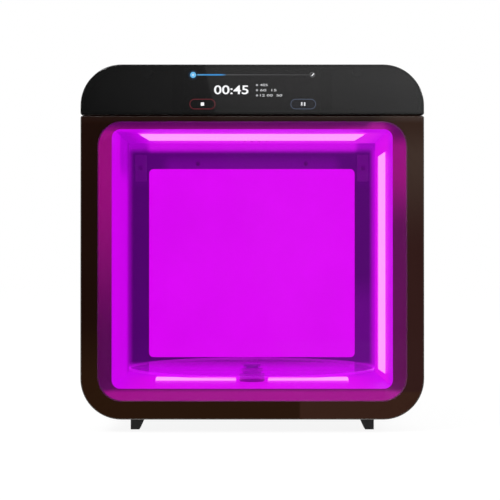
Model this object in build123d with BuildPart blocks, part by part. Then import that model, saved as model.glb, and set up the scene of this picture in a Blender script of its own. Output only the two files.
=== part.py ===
from build123d import *
import os

# Bench-top light curing unit for printed dental resin parts. A rounded steel cabinet holds a lit
# white chamber with a glass turntable, behind a tinted swing door and below a display head.
os.makedirs("parts", exist_ok=True)

# Cabinet. Millimetres, +Z up, the front faces -Y, the origin is on the ground under the middle.
width = 390.0
depth = 424.0
body_height = 403.0  # foot of the door to the top of the head
foot_height = 15.0  # ground to the foot of the door
corner_radius = 46.5  # the cabinet's four rounded corners, seen from the front
sheet = 1.5  # folded sheet steel
shell_inset = 1.5  # the shell sits inside the outline of the door and the head
shell_seam = 0.3  # gap between the shell and the base pan
seam_rise = 46.5  # foot of the door to the seam between the shell and the base pan
lap_height = 12.0  # lip of the base pan behind the shell
rear_flange = 12.0  # flange that carries the rear panel
rear_recess = 6.0  # rear panel set in from the end of the shell
panel_play = 0.3  # rear panel inside the shell

# Room between the cabinet and the chamber
side_space = 25.0
floor_rise = 26.5
roof_space = 61.2
rear_space = 62.0

# Feet
foot_width = 15.6
foot_length = 26.0
foot_taper = 5.6  # the inner side leans in below the shoulder
foot_shoulder = 4.0  # height of the foot's straight top
foot_inset = 62.2  # side of the cabinet to the middle of a foot
foot_lead = 10.6  # front of the feet ahead of the back of the face frame
foot_rear = 30.0
foot_recess = 5.0  # screw head up inside the foot
foot_screw_shift = 8.0  # screw behind the middle of the foot

# Head
head_height = 57.3
head_gap = 1.2  # between the head and the door
head_wall = 3.0
head_inner_radius = 1.0  # small inner corners at the seam
head_plate = 3.0  # smoked front plate
head_boss = 5.5
boss_sink = 1.0  # bosses run into the walls of the head
head_boss_spread = 120.0
seam_radius = 2.0  # small corners where the head and the door meet
front_edge = 1.2  # rounding of the front plates

# Display
display_width = 156.0
display_height = 50.0
display_depth = 8.0
display_rim = 2.0
display_inset = 0.8  # glass below the display's rim
display_gap = 0.3
bracket_sheet = 1.5
bracket_wing = 14.0

# Door
door_thickness = 24.0
door_gap = 2.0
panel_thickness = 4.0
window_side = 19.0  # dark border each side of the window
window_foot = 20.3
window_head = 6.0
window_radius = 28.0
glass_thickness = 3.0
glass_rebate = 2.5
glass_pocket = 9.0  # depth of the rebate from the back of the door
glass_play = 0.2
door_back_radius = 4.0
door_hinge_radius = 6.0  # rear corner beside the hinge, clear of the seal as the door swings
keeper_radius = 4.0
keeper_depth = 3.0
door_screw_head = 2.6
door_screw_length = 8.0
door_screw_sink = 1.6
door_screw_offset = 30.0  # middle of a hinge to the screw beyond it

# Hinge
hinge_side = 8.5  # pin axis from the side of the door
hinge_depth = 12.0  # pin axis from the front of the door
hinge_inset = 78.0  # hinge centre from the foot and from the top of the door
pin_radius = 2.5
pin_grip = 10.0  # length of the pin in the door above and below the knuckle
knuckle_radius = 4.5
knuckle_height = 29.0
neck_thickness = 5.0
leaf_thickness = 3.0
leaf_height = 60.0
leaf_play = 0.4
notch_play = 0.5
notch_skin = 2.0  # door frame left in front of the knuckles
running_fit = 0.06

# Face frame and mouth of the chamber
face_depth = 18.0
face_skin = 3.0
face_wall = 2.5
face_lip = 8.0  # spigot of the face frame inside the shell
rib_pitch = 75.0
bezel_wall = 1.5
bezel_skin = 2.5
bezel_reveal = 2.3  # mouth bezel wider than the window of the door
bezel_fit = 0.2
mouth_side = 6.5  # chamber wall to the edge of the mouth
mouth_sill = 4.7
mouth_lintel = 8.6
mouth_radius = 10.0
cable_slot_width = 90.0
cable_slot_height = 14.0
seal_width = 2.0
seal_stand = 1.7
seal_groove = 1.5

# Catch and interlock on the free side of the door
catch_inset = 85.0
magnet_radius = 4.0
magnet_length = 7.0
magnet_gap = 0.4
magnet_cup = 1.5
plunger_radius = 1.8
plunger_travel = 3.0
plunger_play = 1.3  # spare travel, and room behind the collar
plunger_gap = 0.3
plunger_collar = 2.8
plunger_inset = 40.0  # top of the door to the plunger
plunger_guide = 1.5  # collar of the plunger, and walls of its switch
switch_width = 7.6
switch_height = 22.0

# Chamber panels
liner = 1.5
cove_radius = 8.0
tray_depth = 14.0
tray_corner = 4.0
rail_width = 20.0
rail_inset = 34.0
plate_width = 16.0
plate_height = 37.0
plate_drop = 15.0
plate_thickness = 1.5
screw_radius = 3.2
screw_head = 1.8
screw_shank = 1.6
screw_length = 7.0
back_screw_span = 150.0
back_screw_drop = 27.0

# Lights
panel_light_side = 27.5  # chamber wall to the rear light
panel_light_rise = 19.6  # chamber floor to the foot of the rear light
panel_light_drop = 35.0  # chamber ceiling to the top of the rear light
panel_light_radius = 6.0
diffuser = 2.5
diffuser_flange = 5.0
light_play = 0.3
light_box = 7.0  # diffuser to the LED board
board = 1.6
fin_base = 4.0
fin_height = 11.0
fin_thickness = 1.6
fin_pitch = 15.0
panel_led_pitch = 40.0
bar_width = 36.0
bar_side_slope = 6.0
bar_wall = 1.8
bar_radius = 8.0
top_bar_inset = 25.0  # chamber wall to the end of the top bar
top_bar_height = 8.3
top_bar_slope = 14.0
side_bar_rise = 9.4  # chamber floor to the lower end of the side bar
side_bar_drop = 22.9  # chamber ceiling to the upper end of the side bar
side_bar_height = 9.0
side_bar_slope = 6.1
floor_bar_start = 20.0
floor_bar_inset = 47.3  # chamber wall to the outer end of a floor bar
floor_bar_height = 5.0
floor_bar_slope = 1.0
floor_bar_radius = 2.0
led_size = 3.5
led_height = 1.2
led_pitch = 24.0
strip_width = 18.0
strip_margin = 14.0  # LED board shorter than its cover at each end
carrier_thickness = 4.0
motor_room = 30.0  # floor carriers stay clear of the turntable motor

# Turntable
table_margin = 3.0  # rim of the glass to the side bar, the face frame or the chamber back
table_thickness = 4.0
table_edge = 1.2
table_rise = 15.5  # chamber floor to the underside of the glass
hub_steps = 3
hub_radius = 14.0
hub_flange = 16.0
hub_neck = 12.0
hub_gap = 0.5
spigot_radius = 8.0
spigot_fit = 0.1
cap_radius = 11.0
cap_height = 2.5
bushing_height = 6.0
bushing_radius = 16.0
bushing_neck = 8.0
bushing_edge = 1.2
spindle_reach = 7.0
spindle_radius = 3.5
motor_radius = 24.5
motor_height = 19.0
motor_ear = 5.0
motor_ear_reach = 30.0

# Electronics
tray_rise = 13.7  # chamber ceiling to the underside of the shelf
tray_side_gap = 13.0  # end of the top bar to the side of the shelf
shelf_margin = 11.5  # outermost modules to the side of the shelf
tray_front = 18.0  # face frame to the front of the shelf
tray_gap = 7.0  # shelf to the blower housing
module_end_gap = 1.5  # power supply to the ends of the shelf
board_end_gap = 6.0  # control board and LED driver to the ends of the shelf
standoff_height = 6.0
standoff_radius = 3.0
standoff_inset = 6.0
control_board_width = 120.0
supply_width = 97.0
supply_height = 36.0
driver_width = 60.0
driver_height = 28.0
module_gap = 8.0
connector_width = 18.0
connector_depth = 9.0
connector_pitch = 27.0
connector_count = 4
relay_size = 16.0
relay_height = 12.0
relay_count = 3
processor_size = 16.0
capacitor_radius = 6.0
capacitor_pitch = 18.0
capacitor_count = 3
terminal_step = 14.0
terminal_wall = 1.2
terminal_count = 7
driver_fin = 6.0
driver_fin_pitch = 9.0

# Warm-air blower
blower_front_gap = 10.0  # top light's carrier to the blower housing
blower_rear_gap = 16.0  # blower housing to the chamber back
wheel_gap = 6.0  # rim of the wheel to the housing where the volute starts
wheel_height = 20.0
wheel_plate = 1.5
wheel_ring = 4.0
wheel_blades = 20
blade_thickness = 1.2
wheel_hub = 8.0
wheel_clearance = 3.0
scroll_growth = 5.0  # each quarter of the volute is this much larger
scroll_height = 28.0
scroll_wall = 1.5
duct_length = 84.0
duct_play = 0.5  # heater inside the duct
blower_motor_radius = 25.0
blower_motor_height = 20.0
shaft_radius = 2.5
shaft_reach = 10.0
blade_lean = 40.0
heater_length = 46.0
heater_width = 40.0
heater_height = 20.0
heater_fins = 7
heater_setback = 4.0
air_slot_width = 4.0
air_slot_pitch = 10.0
air_slot_length = 50.0
base_slot_count = 9

# Cooling fans
fan_size = 92.0
fan_depth = 25.0
fan_bore = 44.0
fan_corner = 4.0
fan_span = 124.0
fan_rise = 185.0
fan_seat = 18.0
fan_strut = 4.0
fan_strut_depth = 3.5
fan_strut_count = 4
stator_radius = 15.0
stator_length = 12.0
rotor_radius = 19.0
rotor_wall = 2.0
rotor_length = 19.0
rotor_shaft = 1.5
rotor_gap = 1.0
blade_count = 7
blade_reach = 42.5
blade_sheet = 1.8
blade_root_chord = 18.0
blade_tip_chord = 24.0
blade_root_pitch = 48.0
blade_tip_pitch = 30.0
grille_radius = 41.0
grille_slot = 4.5
grille_pitch = 9.0

# Mains inlet and switch
inlet_inset = 67.0  # side of the cabinet to the middle of the inlet
inlet_rise = 37.0
inlet_width = 28.0
inlet_height = 20.0
inlet_depth = 22.0
inlet_flange = 3.5
inlet_flange_thickness = 2.0
socket_width = 24.0
socket_height = 16.4
socket_depth = 16.0
socket_chamfer = 4.1
pin_width = 4.0
pin_height = 2.0
pin_reach = 12.0
pin_pitch = 7.0
pin_rise = 3.0
switch_inset = 111.0
rocker_width = 11.0
rocker_height = 21.0
rocker_depth = 7.0
rocker_stand = 2.2  # rocker's rim proud of its frame
rocker_tilt = 9.0
rocker_play = 0.5
rocker_axle = 1.2
rocker_axle_fit = 0.05
switch_wall = 1.6
switch_frame_depth = 14.0

# Heights
base_z = foot_height
top_z = base_z + body_height
seam_z = base_z + seam_rise
head_bottom = top_z - head_height
door_top = head_bottom - head_gap
floor_z = base_z + floor_rise
ceiling_z = top_z - roof_space
pan_bottom = base_z + shell_inset
pan_floor = pan_bottom + sheet
mouth_bottom = floor_z + mouth_sill
mouth_top = ceiling_z - mouth_lintel
window_bottom = base_z + window_foot
window_top = door_top - window_head
table_bottom = floor_z + table_rise
table_top = table_bottom + table_thickness

# Places along the depth, front to back
front_y = -depth / 2
rear_y = depth / 2
panel_back = front_y + panel_thickness
door_back = front_y + door_thickness
face_y = door_back + door_gap
skin_y = face_y + face_skin
frame_back = face_y + face_depth
back_y = rear_y - rear_space
tray_y = back_y - tray_depth
outer_panel_y = rear_y - rear_recess
inner_panel_y = outer_panel_y - sheet
middle_y = (frame_back + back_y) / 2  # middle of the chamber: turntable and light bars
blower_front = middle_y + bar_width / 2 + blower_front_gap
scroll_start = (back_y - blower_rear_gap - blower_front - 3 * scroll_growth) / 2
blower_y = back_y - blower_rear_gap - scroll_start
wheel_radius = scroll_start - wheel_gap
plunger_tip = door_back + plunger_gap
plunger_end = skin_y + 2 * plunger_guide + plunger_travel + plunger_play
switch_back = plunger_end + plunger_play + plunger_guide

# Places across the width
chamber_half = width / 2 - side_space
mouth_half = chamber_half - mouth_side
window_half = width / 2 - window_side
bezel_half = window_half + bezel_reveal
bezel_outer = bezel_half + bezel_wall
shell_half = width / 2 - shell_inset
rim_inner = shell_half - face_wall
opening_half = bezel_outer + bezel_fit
hinge_x = -width / 2 + hinge_side
hinge_y = front_y + hinge_depth
hinge_heights = (base_z + hinge_inset, door_top - hinge_inset)
catch_x = (shell_half + opening_half) / 2
catch_heights = (base_z + catch_inset, door_top - catch_inset)
table_radius = min(chamber_half - side_bar_height, (back_y - frame_back) / 2) - table_margin
panel_light_width = 2 * (chamber_half - panel_light_side)
panel_light_height = ceiling_z - panel_light_drop - floor_z - panel_light_rise
top_bar_length = 2 * (chamber_half - top_bar_inset)
side_bar_length = ceiling_z - side_bar_drop - floor_z - side_bar_rise
floor_bar_length = chamber_half - floor_bar_inset - floor_bar_start
row_half = (supply_width + control_board_width + driver_width) / 2 + module_gap
tray_half_width = max(top_bar_length / 2 + tray_side_gap, row_half + shelf_margin)

# Places of what the panels are cut and drilled for
fan_centres = [(side * fan_span / 2, base_z + fan_rise) for side in (-1, 1)]
inlet_centre = (inlet_inset - width / 2, base_z + inlet_rise)
switch_centre = (switch_inset - width / 2, base_z + inlet_rise)
switch_body_width = rocker_width + 2 * rocker_play + 2 * switch_wall
switch_body_height = rocker_height + 2 * rocker_play + 2 * switch_wall
panel_inset = shell_inset + sheet + panel_play
panel_edge = width / 2 - panel_inset - rear_flange / 2
panel_screw_places = [
    (side * panel_edge, z)
    for side in (-1, 1)
    for z in (seam_z - lap_height, (base_z + top_z) / 2, top_z - corner_radius)
]
foot_places = [
    (side * (width / 2 - foot_inset), y)
    for side in (-1, 1)
    for y in (
        frame_back - foot_lead + foot_length / 2,
        rear_y - foot_rear - foot_length / 2,
    )
]
foot_screw_places = [
    (x + (foot_taper / 2 if x > 0 else -foot_taper / 2), y + foot_screw_shift)
    for x, y in foot_places
]


def facing(y):
    """A plane across the cabinet at depth y, drawn as seen from the front: X right, Z up."""
    return Plane.XZ.offset(-y)


def rounded(half_width, bottom, top, low_radius, high_radius):
    """A face between two heights, centred on the cabinet, with its corners rounded."""
    with BuildSketch() as face:
        with Locations((0, (bottom + top) / 2)):
            Rectangle(2 * half_width, top - bottom)
        fillet(face.vertices().group_by(Axis.Y)[0], low_radius)
        fillet(face.vertices().group_by(Axis.Y)[-1], high_radius)
    return face.sketch


def body_outline(inset):
    """The whole cabinet seen from the front, drawn in by an inset."""
    radius = corner_radius - inset
    return rounded(width / 2 - inset, base_z + inset, top_z - inset, radius, radius)


def door_outline():
    """The door: large lower corners, small upper ones at the seam with the head."""
    return rounded(width / 2, base_z, door_top, corner_radius, seam_radius)


def head_outline(inset, low_radius):
    """The head: small lower corners at the seam, large upper ones."""
    return rounded(
        width / 2 - inset, head_bottom + inset, top_z - inset, low_radius, corner_radius - inset
    )


def window_outline(grow):
    """The window of the door, grown all round."""
    radius = window_radius + grow
    return rounded(window_half + grow, window_bottom - grow, window_top + grow, radius, radius)


def mouth_outline(grow):
    """The inner edge of the mouth bezel, grown all round."""
    radius = mouth_radius + grow
    return rounded(mouth_half + grow, mouth_bottom - grow, mouth_top + grow, radius, radius)


def across(bottom, top):
    """A strip the width of the bench between two heights, to cut a cabinet outline with."""
    with BuildSketch() as strip:
        with Locations((0, (bottom + top) / 2)):
            Rectangle(2 * width, top - bottom)
    return strip.sketch


# Outer shell: left side, top and right side folded from one sheet, with a flange at the rear
with BuildPart() as outer_shell:
    with BuildSketch(facing(rear_y)):
        add(body_outline(shell_inset))
        add(body_outline(shell_inset + sheet), mode=Mode.SUBTRACT)
        add(across(0, seam_z + shell_seam), mode=Mode.SUBTRACT)
    extrude(amount=rear_y - frame_back)
    with BuildSketch(facing(inner_panel_y)):
        add(body_outline(shell_inset + sheet / 2))
        add(body_outline(shell_inset + sheet + rear_flange), mode=Mode.SUBTRACT)
        add(across(0, seam_z + lap_height + shell_seam), mode=Mode.SUBTRACT)
    extrude(amount=sheet)
    with BuildSketch(facing(inner_panel_y)):
        with Locations(*panel_screw_places):
            Circle(screw_shank + running_fit)
    extrude(amount=sheet, mode=Mode.SUBTRACT)
outer_shell.part.label = "outer_shell"
export_step(outer_shell.part, "parts/outer_shell.step")

# Base pan: bottom and lower sides in one, with a lip behind the shell and air slots under the fans
with BuildPart() as base_pan:
    with BuildSketch(facing(rear_y)):
        add(body_outline(shell_inset))
        add(body_outline(shell_inset + sheet), mode=Mode.SUBTRACT)
        add(across(seam_z, 2 * top_z), mode=Mode.SUBTRACT)
    extrude(amount=rear_y - frame_back)
    with BuildSketch(facing(inner_panel_y - sheet)):
        add(body_outline(shell_inset + sheet))
        add(body_outline(shell_inset + 2 * sheet), mode=Mode.SUBTRACT)
        add(across(0, seam_z - lap_height), mode=Mode.SUBTRACT)
        add(across(seam_z + lap_height, 2 * top_z), mode=Mode.SUBTRACT)
    extrude(amount=inner_panel_y - sheet - frame_back - face_lip - panel_play)
    with BuildSketch(facing(inner_panel_y)):
        add(body_outline(shell_inset + sheet / 2))
        add(body_outline(shell_inset + sheet + rear_flange), mode=Mode.SUBTRACT)
        add(across(seam_z, 2 * top_z), mode=Mode.SUBTRACT)
    extrude(amount=sheet)
    with BuildSketch(facing(inner_panel_y)):
        with Locations(*panel_screw_places):
            Circle(screw_shank + running_fit)
    extrude(amount=sheet, mode=Mode.SUBTRACT)
    with BuildSketch(Plane.XY.offset(pan_bottom)):
        with Locations(*foot_screw_places):
            Circle(screw_shank + running_fit)
        with Locations((0, back_y - air_slot_length)):
            with GridLocations(air_slot_pitch, 1, base_slot_count, 1):
                SlotOverall(air_slot_length, air_slot_width, rotation=90)
    extrude(amount=sheet, mode=Mode.SUBTRACT)
base_pan.part.label = "base_pan"
export_step(base_pan.part, "parts/base_pan.step")

# Feet: rubber blocks, upright outside and chamfered inside, with a screw recess underneath
with BuildPart() as feet:
    for x, y in foot_places:
        outside = x + (foot_width / 2 if x > 0 else -foot_width / 2)
        inward = -1 if x > 0 else 1
        with BuildSketch(facing(y + foot_length / 2)):
            with BuildLine():
                Polyline(
                    (outside, 0),
                    (outside, pan_bottom),
                    (outside + inward * foot_width, pan_bottom),
                    (outside + inward * foot_width, pan_bottom - foot_shoulder),
                    (outside + inward * (foot_width - foot_taper), 0),
                    close=True,
                )
            make_face()
        extrude(amount=foot_length)
    with BuildSketch(Plane.XY):
        with Locations(*foot_screw_places):
            Circle(screw_radius + light_play)
    extrude(amount=foot_recess, mode=Mode.SUBTRACT)
    with BuildSketch(Plane.XY):
        with Locations(*foot_screw_places):
            Circle(screw_shank + running_fit)
    extrude(amount=pan_bottom, mode=Mode.SUBTRACT)
feet.part.label = "feet"
export_step(feet.part, "parts/feet.step")

# Rear panel: flat sheet inside the shell, slotted over the fans, cut out for the inlet and switch
with BuildPart() as rear_panel:
    with BuildSketch(facing(outer_panel_y)):
        add(body_outline(panel_inset))
        for x, z in fan_centres:
            rows = int(grille_radius // grille_pitch)
            for row in range(-rows, rows + 1):
                rise = row * grille_pitch
                half = (grille_radius**2 - rise**2) ** 0.5
                with Locations((x, z + rise)):
                    SlotOverall(2 * half, grille_slot, mode=Mode.SUBTRACT)
        with Locations(inlet_centre):
            Rectangle(inlet_width, inlet_height, mode=Mode.SUBTRACT)
        with Locations(switch_centre):
            Rectangle(switch_body_width, switch_body_height, mode=Mode.SUBTRACT)
        with Locations(*panel_screw_places):
            Circle(screw_shank + running_fit, mode=Mode.SUBTRACT)
    extrude(amount=sheet)
rear_panel.part.label = "rear_panel"
export_step(rear_panel.part, "parts/rear_panel.step")

# Face frame: moulded front of the cabinet, open at the back, with ribs, a spigot and its holes
opening_grow = bezel_reveal + bezel_wall + bezel_fit
head_middle = (head_bottom + top_z) / 2
boss_places = [
    (side * head_boss_spread, z)
    for side in (-1, 1)
    for z in (
        head_bottom + head_wall + head_boss - boss_sink,
        top_z - head_wall - head_boss + boss_sink,
    )
]
rib_places = [step * rib_pitch for step in (-2, -1, 1, 2)]
plunger_centre = (catch_x, door_top - plunger_inset)
with BuildPart() as face_frame:
    with BuildSketch(facing(skin_y)):
        add(body_outline(shell_inset))
        add(window_outline(opening_grow), mode=Mode.SUBTRACT)
    extrude(amount=face_skin)
    with BuildSketch(facing(frame_back)):
        add(body_outline(shell_inset))
        add(body_outline(shell_inset + face_wall), mode=Mode.SUBTRACT)
    extrude(amount=frame_back - skin_y)
    with BuildSketch(facing(frame_back)):
        add(window_outline(opening_grow + face_wall))
        add(window_outline(opening_grow), mode=Mode.SUBTRACT)
    extrude(amount=frame_back - skin_y)
    with BuildSketch(facing(frame_back + face_lip)):
        add(body_outline(panel_inset))
        add(body_outline(panel_inset + face_wall), mode=Mode.SUBTRACT)
    extrude(amount=face_lip + face_wall)
    with BuildSketch(facing(frame_back)):
        for x in rib_places:
            for low, high in (
                (pan_bottom + face_wall, window_bottom - opening_grow),
                (window_top + opening_grow, top_z - shell_inset - face_wall),
            ):
                with Locations((x, (low + high) / 2)):
                    Rectangle(face_wall, high - low)
    extrude(amount=frame_back - skin_y)
    with BuildSketch(facing(skin_y)):
        with Locations((0, head_middle)):
            SlotOverall(cable_slot_width, cable_slot_height)
        with Locations(*boss_places):
            Circle(screw_shank + running_fit)
        with Locations(plunger_centre):
            Circle(plunger_radius + running_fit)
        for z in catch_heights:
            with Locations((catch_x, z)):
                Circle(magnet_radius + running_fit)
        for z in hinge_heights:
            with Locations((hinge_x, z)):
                Rectangle(neck_thickness + 2 * notch_play, knuckle_height + 2 * notch_play)
    extrude(amount=face_skin, mode=Mode.SUBTRACT)
    with BuildSketch(facing(face_y + seal_groove)):
        add(window_outline(opening_grow + face_wall))
        add(window_outline(opening_grow + face_wall - seal_width), mode=Mode.SUBTRACT)
    extrude(amount=seal_groove, mode=Mode.SUBTRACT)
    with BuildSketch(facing(skin_y + magnet_length)):
        for z in catch_heights:
            with Locations((catch_x, z)):
                Circle(magnet_radius + running_fit + magnet_cup)
    extrude(amount=magnet_length)
    with BuildSketch(facing(door_back + magnet_gap + magnet_length)):
        for z in catch_heights:
            with Locations((catch_x, z)):
                Circle(magnet_radius + running_fit)
    extrude(amount=magnet_length, mode=Mode.SUBTRACT)
face_frame.part.label = "face_frame"
export_step(face_frame.part, "parts/face_frame.step")

# Mouth bezel: white funnel from behind the door's window back to the narrower mouth of the chamber
with BuildPart() as mouth_bezel:
    with BuildSketch(facing(face_y)):
        add(window_outline(bezel_reveal + bezel_wall))
    with BuildSketch(facing(frame_back)):
        add(mouth_outline(bezel_skin))
    loft()
    with BuildSketch(facing(frame_back)):
        add(window_outline(bezel_reveal + bezel_wall))
    extrude(amount=bezel_skin)
    with BuildSketch(facing(face_y)):
        add(window_outline(bezel_reveal))
    with BuildSketch(facing(frame_back)):
        add(mouth_outline(0))
    loft(mode=Mode.SUBTRACT)
mouth_bezel.part.label = "mouth_bezel"
export_step(mouth_bezel.part, "parts/mouth_bezel.step")

# Door seal: silicone ring in the groove of the face frame, a little clear of the shut door
with BuildPart() as door_seal:
    with BuildSketch(facing(face_y + seal_groove)):
        add(window_outline(opening_grow + face_wall))
        add(window_outline(opening_grow + face_wall - seal_width), mode=Mode.SUBTRACT)
    extrude(amount=seal_groove + seal_stand)
door_seal.part.label = "door_seal"
export_step(door_seal.part, "parts/door_seal.step")

# Head housing: four walls round the display, with bosses for screws through the face frame
with BuildPart() as head_housing:
    with BuildSketch(facing(face_y)):
        add(head_outline(0, seam_radius))
        add(head_outline(head_wall, head_inner_radius), mode=Mode.SUBTRACT)
    extrude(amount=door_thickness + door_gap - head_plate)
    with BuildSketch(facing(face_y)):
        with Locations(*boss_places):
            Circle(head_boss)
    extrude(amount=door_thickness - head_plate - head_wall)
    with BuildSketch(facing(face_y)):
        with Locations(*boss_places):
            Circle(screw_shank + running_fit)
    extrude(amount=screw_length, mode=Mode.SUBTRACT)
    with BuildSketch(facing(front_y)):
        add(head_outline(0, seam_radius))
    extrude(amount=-depth, mode=Mode.INTERSECT)
head_housing.part.label = "head_housing"
export_step(head_housing.part, "parts/head_housing.step")

# Head window: smoked plate over the whole front of the head
with BuildPart() as head_window:
    with BuildSketch(facing(front_y + head_plate)):
        add(head_outline(0, seam_radius))
    extrude(amount=head_plate)
    fillet(head_window.faces().sort_by(Axis.Y)[0].edges(), front_edge)
head_window.part.label = "head_window"
export_step(head_window.part, "parts/head_window.step")

# Display module: bar-shaped touch display in a shallow metal rim
display_front = front_y + head_plate + display_gap
display_back = display_front + display_depth
with BuildPart() as display_module:
    with BuildSketch(facing(display_back)):
        with Locations((0, head_middle)):
            RectangleRounded(display_width, display_height, display_rim)
    extrude(amount=display_depth)
    with BuildSketch(facing(display_front + display_inset)):
        with Locations((0, head_middle)):
            Rectangle(display_width - 2 * display_rim, display_height - 2 * display_rim)
    extrude(amount=display_inset, mode=Mode.SUBTRACT)
display_module.part.label = "display_module"
export_step(display_module.part, "parts/display_module.step")

# Display bracket: channel folded from strip, its feet against the face frame
bracket_half = display_width / 2
bracket_bottom = head_middle - display_height / 2 + display_rim
with BuildPart() as display_bracket:
    with BuildSketch(Plane.XY.offset(bracket_bottom)):
        with BuildLine():
            Polyline(
                (-bracket_half - bracket_wing, face_y),
                (-bracket_half - bracket_wing, face_y - bracket_sheet),
                (-bracket_half, face_y - bracket_sheet),
                (-bracket_half, display_back),
                (bracket_half, display_back),
                (bracket_half, face_y - bracket_sheet),
                (bracket_half + bracket_wing, face_y - bracket_sheet),
                (bracket_half + bracket_wing, face_y),
                (bracket_half - bracket_sheet, face_y),
                (bracket_half - bracket_sheet, display_back + bracket_sheet),
                (bracket_sheet - bracket_half, display_back + bracket_sheet),
                (bracket_sheet - bracket_half, face_y),
                close=True,
            )
        make_face()
    extrude(amount=display_height - 2 * display_rim)
display_bracket.part.label = "display_bracket"
export_step(display_bracket.part, "parts/display_bracket.step")

# Door panel: tinted plate over the whole front of the door
with BuildPart() as door_panel:
    with BuildSketch(facing(panel_back)):
        add(door_outline())
    extrude(amount=panel_thickness)
    fillet(door_panel.faces().sort_by(Axis.Y)[0].edges(), front_edge)
door_panel.part.label = "door_panel"
export_step(door_panel.part, "parts/door_panel.step")

# Door frame: moulded ring behind the panel, notched for the hinge knuckles and bored for the pins
frame_depth = door_back - panel_back
notch_height = knuckle_height + 2 * notch_play
door_screw_x = width / 2 - window_side / 2
door_screw_places = [
    (side * door_screw_x, z)
    for side in (-1, 1)
    for z in (
        hinge_heights[0] - door_screw_offset,
        (base_z + door_top) / 2,
        hinge_heights[1] + door_screw_offset,
    )
]
with BuildPart() as door_frame:
    with BuildSketch(facing(door_back)):
        add(door_outline())
        add(window_outline(0), mode=Mode.SUBTRACT)
    extrude(amount=frame_depth)
    with BuildSketch(facing(door_back)):
        add(window_outline(glass_rebate))
    extrude(amount=glass_pocket, mode=Mode.SUBTRACT)
    with BuildSketch(Plane.XY.offset(base_z)) as door_plan:
        with Locations((0, (panel_back + door_back) / 2)):
            Rectangle(width, frame_depth)
        rear_corners = door_plan.vertices().group_by(Axis.Y)[-1].sort_by(Axis.X)
        fillet(rear_corners[0], door_hinge_radius)
        fillet(rear_corners[-1], door_back_radius)
    extrude(amount=door_top - base_z, mode=Mode.INTERSECT)
    for z in hinge_heights:
        with BuildSketch(Plane.XY.offset(z - notch_height / 2)):
            with Locations((hinge_x + knuckle_radius + notch_play, panel_back + notch_skin)):
                Rectangle(width, depth, align=(Align.MAX, Align.MIN))
        extrude(amount=notch_height, mode=Mode.SUBTRACT)
        with BuildSketch(Plane.XY.offset(z - notch_height / 2 - pin_grip)):
            with Locations((hinge_x, hinge_y)):
                Circle(pin_radius + running_fit)
        extrude(amount=notch_height + 2 * pin_grip, mode=Mode.SUBTRACT)
    with BuildSketch(facing(door_back)):
        for z in catch_heights:
            with Locations((catch_x, z)):
                Circle(keeper_radius + running_fit)
    extrude(amount=keeper_depth, mode=Mode.SUBTRACT)
    with BuildSketch(facing(door_back)):
        with Locations(*door_screw_places):
            Circle(door_screw_head + running_fit)
    extrude(amount=door_screw_sink, mode=Mode.SUBTRACT)
    with BuildSketch(facing(door_back)):
        with Locations(*door_screw_places):
            Circle(door_screw_head / 2 + running_fit)
    extrude(amount=door_screw_length, mode=Mode.SUBTRACT)
door_frame.part.label = "door_frame"
export_step(door_frame.part, "parts/door_frame.step")

# Inner glass of the door, bonded in the rebate of the frame
with BuildPart() as door_inner_glass:
    with BuildSketch(facing(door_back - glass_pocket + glass_thickness)):
        add(window_outline(glass_rebate - glass_play))
    extrude(amount=glass_thickness)
door_inner_glass.part.label = "door_inner_glass"
export_step(door_inner_glass.part, "parts/door_inner_glass.step")

# Steel keepers that the catch magnets pull on
with BuildPart() as door_keepers:
    with BuildSketch(facing(door_back)):
        for z in catch_heights:
            with Locations((catch_x, z)):
                Circle(keeper_radius)
    extrude(amount=keeper_depth)
door_keepers.part.label = "door_keepers"
export_step(door_keepers.part, "parts/door_keepers.step")

# Screws in the back of the door, sunk level with it
with BuildPart() as door_screws:
    with BuildSketch(facing(door_back)):
        with Locations(*door_screw_places):
            Circle(door_screw_head)
    extrude(amount=door_screw_sink)
    with BuildSketch(facing(door_back)):
        with Locations(*door_screw_places):
            Circle(door_screw_head / 2)
    extrude(amount=door_screw_length)
door_screws.part.label = "door_screws"
export_step(door_screws.part, "parts/door_screws.step")

# Hinge arms: leaf behind the face frame, neck through it, and a knuckle round the pin
leaf_width = rim_inner - opening_half - face_wall - 2 * leaf_play
leaf_x = -(rim_inner + opening_half + face_wall) / 2
with BuildPart() as hinge_arms:
    for z in hinge_heights:
        with BuildSketch(Plane.XY.offset(z - knuckle_height / 2)):
            with Locations((hinge_x, hinge_y)):
                Circle(knuckle_radius)
                Rectangle(
                    neck_thickness, skin_y + leaf_thickness - hinge_y, align=(Align.CENTER, Align.MIN)
                )
        extrude(amount=knuckle_height)
        with BuildSketch(facing(skin_y + leaf_thickness)):
            with Locations((leaf_x, z)):
                Rectangle(leaf_width, leaf_height)
        extrude(amount=leaf_thickness)
        with BuildSketch(Plane.XY.offset(z - knuckle_height / 2)):
            with Locations((hinge_x, hinge_y)):
                Circle(pin_radius)
        extrude(amount=knuckle_height, mode=Mode.SUBTRACT)
hinge_arms.part.label = "hinge_arms"
export_step(hinge_arms.part, "parts/hinge_arms.step")

# Hinge pins: pressed in the knuckles, running in the bores of the door frame
with BuildPart() as hinge_pins:
    for z in hinge_heights:
        with BuildSketch(Plane.XY.offset(z - notch_height / 2 - pin_grip + notch_play)):
            with Locations((hinge_x, hinge_y)):
                Circle(pin_radius)
        extrude(amount=notch_height + 2 * pin_grip - 2 * notch_play)
hinge_pins.part.label = "hinge_pins"
export_step(hinge_pins.part, "parts/hinge_pins.step")

# Catch magnets in their cups, just clear of the keepers
with BuildPart() as catch_magnets:
    with BuildSketch(facing(door_back + magnet_gap + magnet_length)):
        for z in catch_heights:
            with Locations((catch_x, z)):
                Circle(magnet_radius)
    extrude(amount=magnet_length)
catch_magnets.part.label = "catch_magnets"
export_step(catch_magnets.part, "parts/catch_magnets.step")

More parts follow.
